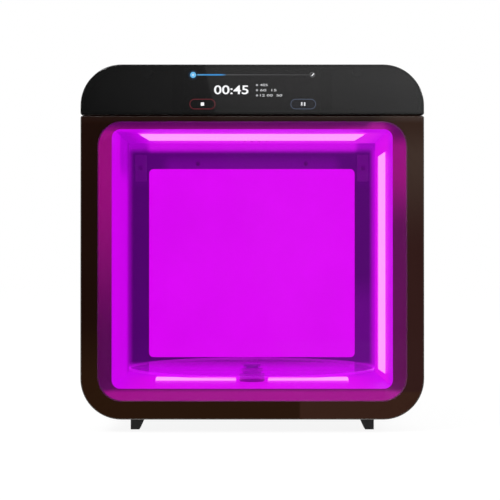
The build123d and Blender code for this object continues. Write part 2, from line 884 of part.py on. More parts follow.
# Interlock plunger: pushed in by the shut door, with a collar that keeps it in its switch
with BuildPart() as interlock_plunger:
    with BuildSketch(facing(plunger_end)):
        with Locations(plunger_centre):
            Circle(plunger_radius)
    extrude(amount=plunger_end - plunger_tip)
    with BuildSketch(facing(plunger_end)):
        with Locations(plunger_centre):
            Circle(plunger_collar)
    extrude(amount=plunger_guide)
    fillet(interlock_plunger.faces().sort_by(Axis.Y)[0].edges(), plunger_radius / 2)
interlock_plunger.part.label = "interlock_plunger"
export_step(interlock_plunger.part, "parts/interlock_plunger.step")

# Interlock switch: box behind the face frame with a guide bore and room for the collar
with BuildPart() as interlock_switch:
    with BuildSketch(facing(switch_back)):
        with Locations(plunger_centre):
            Rectangle(switch_width, switch_height)
    extrude(amount=switch_back - skin_y)
    with BuildSketch(facing(switch_back - plunger_guide)):
        with Locations(plunger_centre):
            Circle(plunger_collar + running_fit)
    extrude(amount=switch_back - skin_y - 2 * plunger_guide, mode=Mode.SUBTRACT)
    with BuildSketch(facing(skin_y + plunger_guide)):
        with Locations(plunger_centre):
            Circle(plunger_radius + running_fit)
    extrude(amount=plunger_guide, mode=Mode.SUBTRACT)
interlock_switch.part.label = "interlock_switch"
export_step(interlock_switch.part, "parts/interlock_switch.step")

# Chamber panels: flat sheets between the mouth bezel and the pressed back
intake_rows = int(wheel_radius // air_slot_pitch)
outlet_x = -scroll_start - duct_length + 2 * air_slot_pitch
panel_length = tray_y - frame_back
panel_middle = (frame_back + tray_y) / 2
duct_width = heater_width + 2 * scroll_wall + 2 * duct_play
with BuildPart() as liner_floor:
    with BuildSketch(Plane.XY.offset(floor_z - liner)):
        with Locations((0, panel_middle)):
            Rectangle(2 * (chamber_half + liner), panel_length)
        with Locations((0, middle_y)):
            Circle(bushing_neck + running_fit, mode=Mode.SUBTRACT)
    extrude(amount=liner)
liner_floor.part.label = "liner_floor"
export_step(liner_floor.part, "parts/liner_floor.step")

with BuildPart() as liner_ceiling:
    with BuildSketch(Plane.XY.offset(ceiling_z)):
        with Locations((0, panel_middle)):
            Rectangle(2 * (chamber_half + liner), panel_length)
        for row in range(-intake_rows, intake_rows + 1):
            shift = row * air_slot_pitch
            reach = (wheel_radius**2 - shift**2) ** 0.5 * 2 - 2 * air_slot_width
            with Locations((shift, blower_y)):
                SlotOverall(reach, air_slot_width, rotation=90, mode=Mode.SUBTRACT)
        with Locations((outlet_x, blower_front + duct_width / 2)):
            with GridLocations(air_slot_pitch, 1, 2, 1):
                SlotOverall(
                    heater_width - air_slot_width, air_slot_width, rotation=90, mode=Mode.SUBTRACT
                )
    extrude(amount=liner)
liner_ceiling.part.label = "liner_ceiling"
export_step(liner_ceiling.part, "parts/liner_ceiling.step")

with BuildPart() as liner_left:
    with BuildSketch(Plane.YZ.offset(-chamber_half - liner)):
        with Locations((panel_middle, (floor_z + ceiling_z) / 2)):
            Rectangle(panel_length, ceiling_z - floor_z)
    extrude(amount=liner)
liner_left.part.label = "liner_left"
export_step(liner_left.part, "parts/liner_left.step")

with BuildPart() as liner_right:
    with BuildSketch(Plane.YZ.offset(chamber_half)):
        with Locations((panel_middle, (floor_z + ceiling_z) / 2)):
            Rectangle(panel_length, ceiling_z - floor_z)
    extrude(amount=liner)
liner_right.part.label = "liner_right"
export_step(liner_right.part, "parts/liner_right.step")

# Chamber back: pressed tray with coved edges, a window for the rear light and screw holes
panel_light_middle = floor_z + panel_light_rise + panel_light_height / 2
plate_x = chamber_half - cove_radius - plate_width / 2
plate_z = ceiling_z - plate_drop - plate_height / 2
plate_places = [(-plate_x, plate_z), (plate_x, plate_z)]
back_screw_places = [
    (side * back_screw_span / 2, ceiling_z - back_screw_drop) for side in (-1, 1)
]
with BuildPart() as liner_back:
    with BuildSketch(facing(back_y + liner)):
        radius = tray_corner + liner
        add(rounded(chamber_half + liner, floor_z - liner, ceiling_z + liner, radius, radius))
    extrude(amount=tray_depth + liner)
    fillet(liner_back.faces().sort_by(Axis.Y)[-1].edges(), cove_radius + liner)
    offset(amount=-liner, openings=liner_back.faces().sort_by(Axis.Y)[0])
    with BuildSketch(facing(back_y + liner)):
        with Locations((0, panel_light_middle)):
            RectangleRounded(
                panel_light_width + 2 * light_play,
                panel_light_height + 2 * light_play,
                panel_light_radius + light_play,
            )
        with Locations(*plate_places, *back_screw_places):
            Circle(screw_shank + running_fit)
    extrude(amount=liner, mode=Mode.SUBTRACT)
liner_back.part.label = "liner_back"
export_step(liner_back.part, "parts/liner_back.step")

# Small plates in the upper back corners of the chamber
with BuildPart() as corner_plates:
    with BuildSketch(facing(back_y)):
        with Locations(*plate_places):
            RectangleRounded(plate_width, plate_height, plate_thickness)
            Circle(screw_shank + running_fit, mode=Mode.SUBTRACT)
    extrude(amount=plate_thickness)
corner_plates.part.label = "corner_plates"
export_step(corner_plates.part, "parts/corner_plates.step")

# Screws through the plates and the chamber back
with BuildPart() as chamber_screws:
    for places, seat in ((plate_places, back_y - plate_thickness), (back_screw_places, back_y)):
        with BuildSketch(facing(seat)):
            with Locations(*places):
                Circle(screw_radius)
        extrude(amount=screw_head)
        with BuildSketch(facing(seat + screw_length)):
            with Locations(*places):
                Circle(screw_shank)
        extrude(amount=screw_length)
    fillet(
        chamber_screws.edges().filter_by(GeomType.CIRCLE).group_by(SortBy.RADIUS)[-1].filter_by(
            lambda edge: edge.center().Y in (back_y - screw_head, back_y - plate_thickness - screw_head)
        ),
        screw_head / 2,
    )
chamber_screws.part.label = "chamber_screws"
export_step(chamber_screws.part, "parts/chamber_screws.step")

# Rear light: diffuser through the chamber back, box frame, LED board and finned heatsink behind it
flange_y = back_y + liner
box_y = flange_y + diffuser
board_y = box_y + light_box
sink_y = board_y + board
light_outer_width = panel_light_width + 2 * diffuser_flange
light_outer_height = panel_light_height + 2 * diffuser_flange
with BuildPart() as rear_light_diffuser:
    with BuildSketch(facing(flange_y)):
        with Locations((0, panel_light_middle)):
            RectangleRounded(panel_light_width, panel_light_height, panel_light_radius)
    extrude(amount=liner)
    with BuildSketch(facing(box_y)):
        with Locations((0, panel_light_middle)):
            Rectangle(light_outer_width, light_outer_height)
    extrude(amount=diffuser)
rear_light_diffuser.part.label = "rear_light_diffuser"
export_step(rear_light_diffuser.part, "parts/rear_light_diffuser.step")

with BuildPart() as rear_light_frame:
    with BuildSketch(facing(board_y)):
        with Locations((0, panel_light_middle)):
            Rectangle(light_outer_width, light_outer_height)
            Rectangle(panel_light_width, panel_light_height, mode=Mode.SUBTRACT)
    extrude(amount=light_box)
rear_light_frame.part.label = "rear_light_frame"
export_step(rear_light_frame.part, "parts/rear_light_frame.step")

with BuildPart() as rear_light_board:
    with BuildSketch(facing(sink_y)):
        with Locations((0, panel_light_middle)):
            Rectangle(light_outer_width, light_outer_height)
    extrude(amount=board)
    with BuildSketch(facing(board_y)):
        with Locations((0, panel_light_middle)):
            with GridLocations(
                panel_led_pitch,
                panel_led_pitch,
                int(panel_light_width // panel_led_pitch),
                int(panel_light_height // panel_led_pitch),
            ):
                Rectangle(led_size, led_size)
    extrude(amount=led_height)
rear_light_board.part.label = "rear_light_board"
export_step(rear_light_board.part, "parts/rear_light_board.step")

with BuildPart() as rear_light_heatsink:
    with BuildSketch(facing(sink_y + fin_base)):
        with Locations((0, panel_light_middle)):
            Rectangle(light_outer_width, light_outer_height)
    extrude(amount=fin_base)
    with BuildSketch(facing(sink_y + fin_base + fin_height)):
        with Locations((0, panel_light_middle)):
            with GridLocations(fin_pitch, 1, int(light_outer_width // fin_pitch), 1):
                Rectangle(fin_thickness, light_outer_height)
    extrude(amount=fin_height)
rear_light_heatsink.part.label = "rear_light_heatsink"
export_step(rear_light_heatsink.part, "parts/rear_light_heatsink.step")


def bar_cover(base, length, height, end_slope, radius):
    """A hollow light cover on a plane: rounded foot, smaller rounded face, open underneath."""
    face_width = bar_width - 2 * bar_side_slope
    with BuildPart() as cover:
        with BuildSketch(base):
            RectangleRounded(length, bar_width, radius)
        with BuildSketch(base.offset(height)):
            RectangleRounded(length - 2 * end_slope, face_width, radius)
        loft()
        inner_radius = radius - bar_wall
        with BuildSketch(base):
            RectangleRounded(length - 2 * bar_wall, bar_width - 2 * bar_wall, inner_radius)
        with BuildSketch(base.offset(height - bar_wall)):
            RectangleRounded(
                length - 2 * end_slope - 2 * bar_wall, face_width - 2 * bar_wall, inner_radius
            )
        loft(mode=Mode.SUBTRACT)
    return cover.part


def led_strip(base, length):
    """A narrow LED board on a plane, with a row of LEDs."""
    with BuildPart() as strip:
        with BuildSketch(base):
            Rectangle(length, strip_width)
        extrude(amount=board)
        with BuildSketch(base.offset(board)):
            with GridLocations(led_pitch, 1, int(length // led_pitch), 1):
                Rectangle(led_size, led_size)
        extrude(amount=led_height)
    return strip.part


# Light bars: top, right wall, and two on the floor either side of the turntable hub
side_bar_middle = floor_z + side_bar_rise + side_bar_length / 2
floor_bar_x = floor_bar_start + floor_bar_length / 2
top_bar_plane = Plane(origin=(0, middle_y, ceiling_z), x_dir=(1, 0, 0), z_dir=(0, 0, -1))
side_bar_plane = Plane(
    origin=(chamber_half, middle_y, side_bar_middle), x_dir=(0, 0, 1), z_dir=(-1, 0, 0)
)
floor_bar_planes = [
    Plane(origin=(side * floor_bar_x, middle_y, floor_z), x_dir=(1, 0, 0), z_dir=(0, 0, 1))
    for side in (-1, 1)
]
with BuildPart() as top_light_diffuser:
    add(bar_cover(top_bar_plane, top_bar_length, top_bar_height, top_bar_slope, bar_radius))
top_light_diffuser.part.label = "top_light_diffuser"
export_step(top_light_diffuser.part, "parts/top_light_diffuser.step")

with BuildPart() as top_light_board:
    add(led_strip(top_bar_plane, top_bar_length - 2 * strip_margin))
top_light_board.part.label = "top_light_board"
export_step(top_light_board.part, "parts/top_light_board.step")

with BuildPart() as right_light_diffuser:
    add(
        bar_cover(side_bar_plane, side_bar_length, side_bar_height, side_bar_slope, bar_radius)
    )
right_light_diffuser.part.label = "right_light_diffuser"
export_step(right_light_diffuser.part, "parts/right_light_diffuser.step")

with BuildPart() as right_light_board:
    add(led_strip(side_bar_plane, side_bar_length - 2 * strip_margin))
right_light_board.part.label = "right_light_board"
export_step(right_light_board.part, "parts/right_light_board.step")

with BuildPart() as floor_light_diffusers:
    for plane in floor_bar_planes:
        add(
            bar_cover(
                plane, floor_bar_length, floor_bar_height, floor_bar_slope, floor_bar_radius
            )
        )
floor_light_diffusers.part.label = "floor_light_diffusers"
export_step(floor_light_diffusers.part, "parts/floor_light_diffusers.step")

with BuildPart() as floor_light_boards:
    for plane in floor_bar_planes:
        add(led_strip(plane, floor_bar_length - 2 * strip_margin))
floor_light_boards.part.label = "floor_light_boards"
export_step(floor_light_boards.part, "parts/floor_light_boards.step")

# Light carriers: aluminium bars on the outside of the chamber panels, behind each LED board
floor_carrier_half = (floor_bar_start + floor_bar_length - motor_room) / 2
with BuildPart() as light_carriers:
    with BuildSketch(Plane.XY.offset(ceiling_z + liner)):
        with Locations((0, middle_y)):
            Rectangle(top_bar_length, bar_width)
    extrude(amount=carrier_thickness)
    with BuildSketch(Plane.YZ.offset(chamber_half + liner)):
        with Locations((middle_y, side_bar_middle)):
            Rectangle(bar_width, side_bar_length)
    extrude(amount=carrier_thickness)
    with BuildSketch(Plane.XY.offset(floor_z - liner - carrier_thickness)):
        for side in (-1, 1):
            with Locations((side * (motor_room + floor_carrier_half), middle_y)):
                Rectangle(2 * floor_carrier_half, bar_width)
    extrude(amount=carrier_thickness)
light_carriers.part.label = "light_carriers"
export_step(light_carriers.part, "parts/light_carriers.step")

# Chamber rails: folded channels that stand on the base pan and carry the chamber floor
rail_height = floor_z - liner - pan_floor
rail_x = chamber_half - rail_inset
with BuildPart() as chamber_rails:
    for side in (-1, 1):
        with BuildSketch(facing(tray_y)):
            with Locations((side * rail_x, pan_floor + rail_height / 2)):
                Rectangle(rail_width, rail_height)
            with Locations((side * rail_x, pan_floor + (rail_height - sheet) / 2)):
                Rectangle(rail_width - 2 * sheet, rail_height - sheet, mode=Mode.SUBTRACT)
        extrude(amount=panel_length - rail_width)
chamber_rails.part.label = "chamber_rails"
export_step(chamber_rails.part, "parts/chamber_rails.step")

# Turntable bushing: flanged brass bearing through the chamber floor
with BuildPart() as turntable_bushing:
    with BuildSketch(Plane.XZ.offset(-middle_y)):
        with BuildLine():
            Polyline(
                (spindle_radius + running_fit, floor_z - liner),
                (bushing_neck, floor_z - liner),
                (bushing_neck, floor_z),
                (bushing_radius, floor_z),
                (bushing_radius, floor_z + bushing_height),
                (spindle_radius + running_fit, floor_z + bushing_height),
                close=True,
            )
        make_face()
    revolve(axis=Axis((0, middle_y, 0), (0, 0, 1)))
    fillet(
        turntable_bushing.edges().filter_by(GeomType.CIRCLE).group_by(Axis.Z)[-1].sort_by(
            SortBy.LENGTH
        )[-1],
        bushing_edge,
    )
turntable_bushing.part.label = "turntable_bushing"
export_step(turntable_bushing.part, "parts/turntable_bushing.step")

# Turntable hub: stepped, with a spigot through the glass above and a spindle down to the motor
hub_foot = floor_z + bushing_height + hub_gap
hub_step = (table_bottom - hub_foot) / hub_steps
spindle_end = floor_z - liner - spindle_reach
with BuildPart() as turntable_hub:
    with BuildSketch(Plane.XZ.offset(-middle_y)):
        with BuildLine():
            Polyline(
                (0, spindle_end),
                (spindle_radius, spindle_end),
                (spindle_radius, hub_foot),
                (hub_flange, hub_foot),
                (hub_flange, hub_foot + hub_step),
                (hub_neck, hub_foot + hub_step),
                (hub_neck, table_bottom - hub_step),
                (hub_radius, table_bottom - hub_step),
                (hub_radius, table_bottom),
                (spigot_radius, table_bottom),
                (spigot_radius, table_top),
                (0, table_top),
                close=True,
            )
        make_face()
    revolve(axis=Axis((0, middle_y, 0), (0, 0, 1)))
turntable_hub.part.label = "turntable_hub"
export_step(turntable_hub.part, "parts/turntable_hub.step")

# Turntable glass: round plate with polished edges and a hole for the spigot
with BuildPart() as turntable_glass:
    with BuildSketch(Plane.XY.offset(table_bottom)):
        with Locations((0, middle_y)):
            Circle(table_radius)
            Circle(spigot_radius + spigot_fit, mode=Mode.SUBTRACT)
    extrude(amount=table_thickness)
    fillet(turntable_glass.edges().sort_by(SortBy.LENGTH)[-2:], table_edge)
turntable_glass.part.label = "turntable_glass"
export_step(turntable_glass.part, "parts/turntable_glass.step")

# Turntable cap: low disc over the spigot
with BuildPart() as turntable_cap:
    with BuildSketch(Plane.XY.offset(table_top)):
        with Locations((0, middle_y)):
            Circle(cap_radius)
    extrude(amount=cap_height)
    fillet(turntable_cap.faces().sort_by(Axis.Z)[-1].edges(), cap_height / 2)
turntable_cap.part.label = "turntable_cap"
export_step(turntable_cap.part, "parts/turntable_cap.step")

# Turntable motor: flat geared motor with two ears, hung under the chamber floor
motor_top = floor_z - liner
with BuildPart() as turntable_motor:
    with BuildSketch(Plane.XY.offset(motor_top - motor_height)):
        with Locations((0, middle_y)):
            Circle(motor_radius)
    extrude(amount=motor_height)
    with BuildSketch(Plane.XY.offset(motor_top - sheet)):
        with Locations((0, middle_y)):
            SlotCenterToCenter(2 * motor_ear_reach, 2 * motor_ear, rotation=90)
            with Locations((0, -motor_ear_reach), (0, motor_ear_reach)):
                Circle(motor_ear / 2, mode=Mode.SUBTRACT)
    extrude(amount=sheet)
    with BuildSketch(Plane.XY.offset(motor_top - spindle_reach)):
        with Locations((0, middle_y)):
            Circle(spindle_radius + running_fit)
    extrude(amount=spindle_reach, mode=Mode.SUBTRACT)
turntable_motor.part.label = "turntable_motor"
export_step(turntable_motor.part, "parts/turntable_motor.step")

# Electronics shelf: folded channel that stands on the chamber ceiling
shelf_top = ceiling_z + liner + tray_rise + sheet
shelf_front_y = frame_back + tray_front
tray_length = blower_front - tray_gap - shelf_front_y
shelf_middle = shelf_front_y + tray_length / 2
supply_length = tray_length - 2 * module_end_gap
driver_length = tray_length - 2 * board_end_gap
control_board_length = tray_length - 2 * board_end_gap
with BuildPart() as electronics_tray:
    with BuildSketch(facing(shelf_front_y + tray_length)):
        with Locations((0, ceiling_z + liner)):
            Rectangle(
                2 * tray_half_width, tray_rise + sheet, align=(Align.CENTER, Align.MIN)
            )
            Rectangle(
                2 * (tray_half_width - sheet),
                tray_rise,
                align=(Align.CENTER, Align.MIN),
                mode=Mode.SUBTRACT,
            )
    extrude(amount=tray_length)
electronics_tray.part.label = "electronics_tray"
export_step(electronics_tray.part, "parts/electronics_tray.step")

# Control board on four standoffs, with relays, capacitors, a processor and edge connectors
supply_x = row_half - supply_width / 2
control_x = row_half - supply_width - module_gap - control_board_width / 2
driver_x = driver_width / 2 - row_half
board_top = shelf_top + standoff_height + board
with BuildPart() as control_board:
    with BuildSketch(Plane.XY.offset(shelf_top)):
        with Locations((control_x, shelf_middle)):
            with GridLocations(
                control_board_width - 2 * standoff_inset,
                control_board_length - 2 * standoff_inset,
                2,
                2,
            ):
                Circle(standoff_radius)
    extrude(amount=standoff_height)
    with BuildSketch(Plane.XY.offset(shelf_top + standoff_height)):
        with Locations((control_x, shelf_middle)):
            Rectangle(control_board_width, control_board_length)
    extrude(amount=board)
    with BuildSketch(Plane.XY.offset(board_top)):
        with Locations((control_x, shelf_middle)):
            with Locations((0, -control_board_length / 2 + connector_depth)):
                with GridLocations(connector_pitch, 1, connector_count, 1):
                    Rectangle(connector_width, connector_depth)
            with Locations((0, control_board_length / 2 - 2 * connector_depth)):
                with GridLocations(connector_pitch, 1, relay_count, 1):
                    Rectangle(relay_size, relay_size)
    extrude(amount=relay_height)
    with BuildSketch(Plane.XY.offset(board_top)):
        with Locations((control_x, shelf_middle)):
            Rectangle(processor_size, processor_size)
    extrude(amount=board)
    with BuildSketch(Plane.XY.offset(board_top)):
        with Locations((control_x - control_board_width / 4, shelf_middle)):
            with GridLocations(1, capacitor_pitch, 1, capacitor_count):
                Circle(capacitor_radius)
    extrude(amount=relay_height)
control_board.part.label = "control_board"
export_step(control_board.part, "parts/control_board.step")

# Power supply: sheet-metal case with a lower terminal step at its front end
with BuildPart() as power_supply:
    with BuildSketch(Plane.XY.offset(shelf_top)):
        with Locations((supply_x, shelf_middle)):
            Rectangle(supply_width, supply_length)
    extrude(amount=supply_height)
    with BuildSketch(Plane.XY.offset(shelf_top + supply_height / 2)):
        with Locations((supply_x, shelf_middle - supply_length / 2)):
            Rectangle(supply_width, 2 * terminal_step)
    extrude(amount=supply_height, mode=Mode.SUBTRACT)
    with BuildSketch(Plane.XY.offset(shelf_top + supply_height / 2)):
        with Locations((supply_x, shelf_middle - supply_length / 2 + terminal_step / 2)):
            with GridLocations(supply_width / (terminal_count + 1), 1, terminal_count, 1):
                Rectangle(terminal_wall, terminal_step)
    extrude(amount=terminal_step / 2)
power_supply.part.label = "power_supply"
export_step(power_supply.part, "parts/power_supply.step")

# LED driver: finned aluminium box
with BuildPart() as led_driver:
    with BuildSketch(Plane.XY.offset(shelf_top)):
        with Locations((driver_x, shelf_middle)):
            Rectangle(driver_width, driver_length)
    extrude(amount=driver_height - driver_fin)
    with BuildSketch(Plane.XY.offset(shelf_top + driver_height - driver_fin)):
        with Locations((driver_x, shelf_middle)):
            with GridLocations(driver_fin_pitch, 1, int(driver_width // driver_fin_pitch), 1):
                Rectangle(fin_thickness, driver_length)
    extrude(amount=driver_fin)
led_driver.part.label = "led_driver"
export_step(led_driver.part, "parts/led_driver.step")


def volute():
    """The blower's outline from above: three growing quarter arcs and a straight duct."""
    duct_high = blower_front + duct_width
    duct_end = -scroll_start - duct_length
    with BuildSketch() as outline:
        with BuildLine():
            CenterArc((0, blower_y), scroll_start, 180, -90)
            CenterArc((0, blower_y - scroll_growth), scroll_start + scroll_growth, 90, -90)
            CenterArc(
                (-scroll_growth, blower_y - scroll_growth),
                scroll_start + 2 * scroll_growth,
                0,
                -90,
            )
            Polyline(
                (-scroll_growth, blower_front),
                (duct_end, blower_front),
                (duct_end, duct_high),
                (-scroll_start, duct_high),
                (-scroll_start, blower_y),
            )
        make_face()
    return outline.sketch


# Blower housing: volute and duct, open towards the chamber ceiling it stands on
blower_foot = ceiling_z + liner
blower_roof = blower_foot + scroll_height
with BuildPart() as blower_housing:
    with BuildSketch(Plane.XY.offset(blower_foot)):
        add(volute())
    extrude(amount=scroll_height)
    with BuildSketch(Plane.XY.offset(blower_foot)):
        add(volute())
        offset(amount=-scroll_wall, mode=Mode.REPLACE)
    extrude(amount=scroll_height - scroll_wall, mode=Mode.SUBTRACT)
    with BuildSketch(Plane.XY.offset(blower_foot)):
        with Locations((0, blower_y)):
            Circle(wheel_hub)
    extrude(amount=scroll_height, mode=Mode.SUBTRACT)
blower_housing.part.label = "blower_housing"
export_step(blower_housing.part, "parts/blower_housing.step")

# Blower wheel: blades between a back plate and a ring, with its hub and shaft
wheel_foot = blower_foot + wheel_clearance
with BuildPart() as blower_wheel:
    with BuildSketch(Plane.XY.offset(wheel_foot)):
        with Locations((0, blower_y)):
            Circle(wheel_radius)
            Circle(wheel_radius - wheel_ring, mode=Mode.SUBTRACT)
    extrude(amount=wheel_plate)
    with BuildSketch(Plane.XY.offset(wheel_foot)):
        with Locations((0, blower_y)):
            with PolarLocations(wheel_radius - wheel_ring, wheel_blades):
                Rectangle(2 * wheel_ring, blade_thickness, rotation=blade_lean)
    extrude(amount=wheel_height)
    with BuildSketch(Plane.XY.offset(wheel_foot + wheel_height - wheel_plate)):
        with Locations((0, blower_y)):
            Circle(wheel_radius)
    extrude(amount=wheel_plate)
    with BuildSketch(Plane.XY.offset(wheel_foot + wheel_plate)):
        with Locations((0, blower_y)):
            Circle(wheel_hub - blade_thickness)
    extrude(amount=wheel_height)
    with BuildSketch(Plane.XY.offset(wheel_foot + wheel_height)):
        with Locations((0, blower_y)):
            Circle(shaft_radius)
    extrude(amount=scroll_height - wheel_clearance - wheel_height + shaft_reach)
blower_wheel.part.label = "blower_wheel"
export_step(blower_wheel.part, "parts/blower_wheel.step")

# Blower motor: round can on the roof of the housing, bored for the wheel's shaft
with BuildPart() as blower_motor:
    with BuildSketch(Plane.XY.offset(blower_roof)):
        with Locations((0, blower_y)):
            Circle(blower_motor_radius)
    extrude(amount=blower_motor_height)
    fillet(blower_motor.faces().sort_by(Axis.Z)[-1].edges(), scroll_wall)
    with BuildSketch(Plane.XY.offset(blower_roof)):
        with Locations((0, blower_y)):
            Circle(shaft_radius + running_fit)
    extrude(amount=shaft_reach + wheel_plate, mode=Mode.SUBTRACT)
blower_motor.part.label = "blower_motor"
export_step(blower_motor.part, "parts/blower_motor.step")

# Heater: fins along the air stream on a flat core, in the duct of the blower
heater_x = -scroll_start - heater_length / 2 - heater_setback
heater_y = blower_front + duct_width / 2
with BuildPart() as heater_element:
    with BuildSketch(Plane.XY.offset(blower_foot)):
        with Locations((heater_x, heater_y)):
            with GridLocations(1, (heater_width - fin_thickness) / (heater_fins - 1), 1, heater_fins):
                Rectangle(heater_length, fin_thickness)
    extrude(amount=heater_height)
    with BuildSketch(Plane.XY.offset(blower_foot + heater_height / 2)):
        with Locations((heater_x, heater_y)):
            Rectangle(heater_length, heater_width)
    extrude(amount=fin_thickness)
heater_element.part.label = "heater_element"
export_step(heater_element.part, "parts/heater_element.step")

# Cooling fans: square frames with a round bore, four struts, and the stator the rotor runs on
fan_front = inner_panel_y - fan_depth
stator_front = fan_front + fan_strut_depth
with BuildPart() as cooling_fan_frames:
    for centre in fan_centres:
        with BuildSketch(facing(inner_panel_y)):
            with Locations(centre):
                RectangleRounded(fan_size, fan_size, fan_corner)
                Circle(fan_bore, mode=Mode.SUBTRACT)
        extrude(amount=fan_depth)
        with BuildSketch(facing(stator_front)):
            with Locations(centre):
                Circle(fan_seat)
                with PolarLocations((fan_seat + fan_bore) / 2, fan_strut_count, start_angle=45):
                    Rectangle(fan_bore - fan_seat + fan_strut, fan_strut)
        extrude(amount=fan_strut_depth)
        with BuildSketch(facing(stator_front + stator_length)):
            with Locations(centre):
                Circle(stator_radius)
        extrude(amount=stator_length)
        with BuildSketch(facing(stator_front + stator_length)):
            with Locations(centre):
                Circle(rotor_shaft + running_fit)
        extrude(amount=stator_length, mode=Mode.SUBTRACT)
cooling_fan_frames.part.label = "cooling_fan_frames"
export_step(cooling_fan_frames.part, "parts/cooling_fan_frames.step")


def fan_rotor():
    """A fan rotor about the Y axis: hub cup, shaft, and blades that twist from root to tip."""
    rotor_front = stator_front + rotor_gap
    rotor_back = rotor_front + rotor_length
    with BuildPart() as rotor:
        with BuildSketch(facing(rotor_back)):
            Circle(rotor_radius)
        extrude(amount=rotor_length)
        fillet(rotor.faces().sort_by(Axis.Y)[-1].edges(), rotor_wall / 2)
        with BuildSketch(facing(rotor_back - rotor_wall)):
            Circle(rotor_radius - rotor_wall)
        extrude(amount=rotor_length - rotor_wall, mode=Mode.SUBTRACT)
        with BuildSketch(facing(rotor_back)):
            Circle(rotor_shaft)
        extrude(amount=rotor_length)
        root = rotor_radius - rotor_wall / 2
        middle = (rotor_front + rotor_back) / 2
        for number in range(blade_count):
            turn = Rotation(0, number * 360 / blade_count, 0)
            for reach, chord, pitch in (
                (root, blade_root_chord, blade_root_pitch),
                (blade_reach, blade_tip_chord, blade_tip_pitch),
            ):
                spot = Plane(origin=(reach, middle, 0), x_dir=(0, 0, 1), z_dir=(1, 0, 0))
                with BuildSketch(Plane(turn * spot.location)):
                    Rectangle(chord, blade_sheet, rotation=pitch)
            loft()
    return rotor.part


for side, (fan_x, fan_z) in zip(("left", "right"), fan_centres):
    with BuildPart() as cooling_fan_rotor:
        with Locations((fan_x, 0, fan_z)):
            add(fan_rotor())
    cooling_fan_rotor.part.label = f"cooling_fan_rotor_{side}"
    export_step(cooling_fan_rotor.part, f"parts/cooling_fan_rotor_{side}.step")

# Mains inlet: flange outside the rear panel, socket with three blades, body inside
inlet_face = outer_panel_y + inlet_flange_thickness
with BuildPart() as mains_inlet:
    with BuildSketch(facing(inlet_face)):
        with Locations(inlet_centre):
            RectangleRounded(
                inlet_width + 2 * inlet_flange, inlet_height + 2 * inlet_flange, inlet_flange
            )
    extrude(amount=inlet_flange_thickness)
    with BuildSketch(facing(outer_panel_y)):
        with Locations(inlet_centre):
            Rectangle(inlet_width - 2 * running_fit, inlet_height - 2 * running_fit)
    extrude(amount=inlet_depth)
    with BuildSketch(facing(inlet_face)) as socket:
        with Locations(inlet_centre):
            Rectangle(socket_width, socket_height)
        chamfer(socket.vertices().group_by(Axis.Y)[-1], socket_chamfer)
    extrude(amount=socket_depth, mode=Mode.SUBTRACT)
    with BuildSketch(facing(inlet_face - socket_depth + pin_reach)):
        for step in (-1, 0, 1):
            rise = pin_rise if step == 0 else 0
            with Locations((inlet_centre[0] + step * pin_pitch, inlet_centre[1] + rise)):
                Rectangle(pin_height, pin_width)
    extrude(amount=pin_reach)
mains_inlet.part.label = "mains_inlet"
export_step(mains_inlet.part, "parts/mains_inlet.step")

# Switch housing: frame outside the rear panel and a box inside, open for the rocker
switch_face = outer_panel_y + inlet_flange_thickness
axle_y = switch_face - rocker_depth / 2
rocker_well_width = rocker_width + 2 * rocker_play
rocker_well_height = rocker_height + 2 * rocker_play
with BuildPart() as switch_housing:
    with BuildSketch(facing(switch_face)):
        with Locations(switch_centre):
            RectangleRounded(
                switch_body_width + 2 * switch_wall, switch_body_height + 2 * switch_wall, switch_wall
            )
    extrude(amount=inlet_flange_thickness)
    with BuildSketch(facing(outer_panel_y)):
        with Locations(switch_centre):
            Rectangle(switch_body_width - 2 * running_fit, switch_body_height - 2 * running_fit)
    extrude(amount=switch_frame_depth)
    with BuildSketch(facing(switch_face)):
        with Locations(switch_centre):
            Rectangle(rocker_well_width, rocker_well_height)
    extrude(amount=switch_frame_depth, mode=Mode.SUBTRACT)
    with BuildSketch(Plane.YZ.offset(switch_centre[0] - switch_body_width / 2 - switch_wall)):
        with Locations((axle_y, switch_centre[1])):
            Circle(rocker_axle + rocker_axle_fit)
    extrude(amount=switch_body_width + 2 * switch_wall, mode=Mode.SUBTRACT)
switch_housing.part.label = "switch_housing"
export_step(switch_housing.part, "parts/switch_housing.step")

# Power rocker: shallow V of two faces on an axle, tilted to its ON side
rocker_plane = Plane(
    origin=(switch_centre[0] - rocker_width / 2, axle_y, switch_centre[1]),
    x_dir=Vector(0, 1, 0).rotate(Axis.X, rocker_tilt),
    z_dir=(1, 0, 0),
)
rocker_rim = rocker_depth / 2 + rocker_stand
rocker_half = rocker_height / 2 - rocker_play
with BuildPart() as power_rocker:
    with BuildSketch(rocker_plane):
        with BuildLine():
            Polyline(
                (0, -rocker_half),
                (rocker_rim, -rocker_half),
                (rocker_rim - rocker_play * 2, 0),
                (rocker_rim, rocker_half),
                (0, rocker_half),
                (-rocker_depth / 2, 0),
                close=True,
            )
        make_face()
    extrude(amount=rocker_width)
    with BuildSketch(rocker_plane.offset(-rocker_play - switch_wall / 2)):
        Circle(rocker_axle)
    extrude(amount=rocker_width + 2 * rocker_play + switch_wall)
power_rocker.part.label = "power_rocker"
export_step(power_rocker.part, "parts/power_rocker.step")

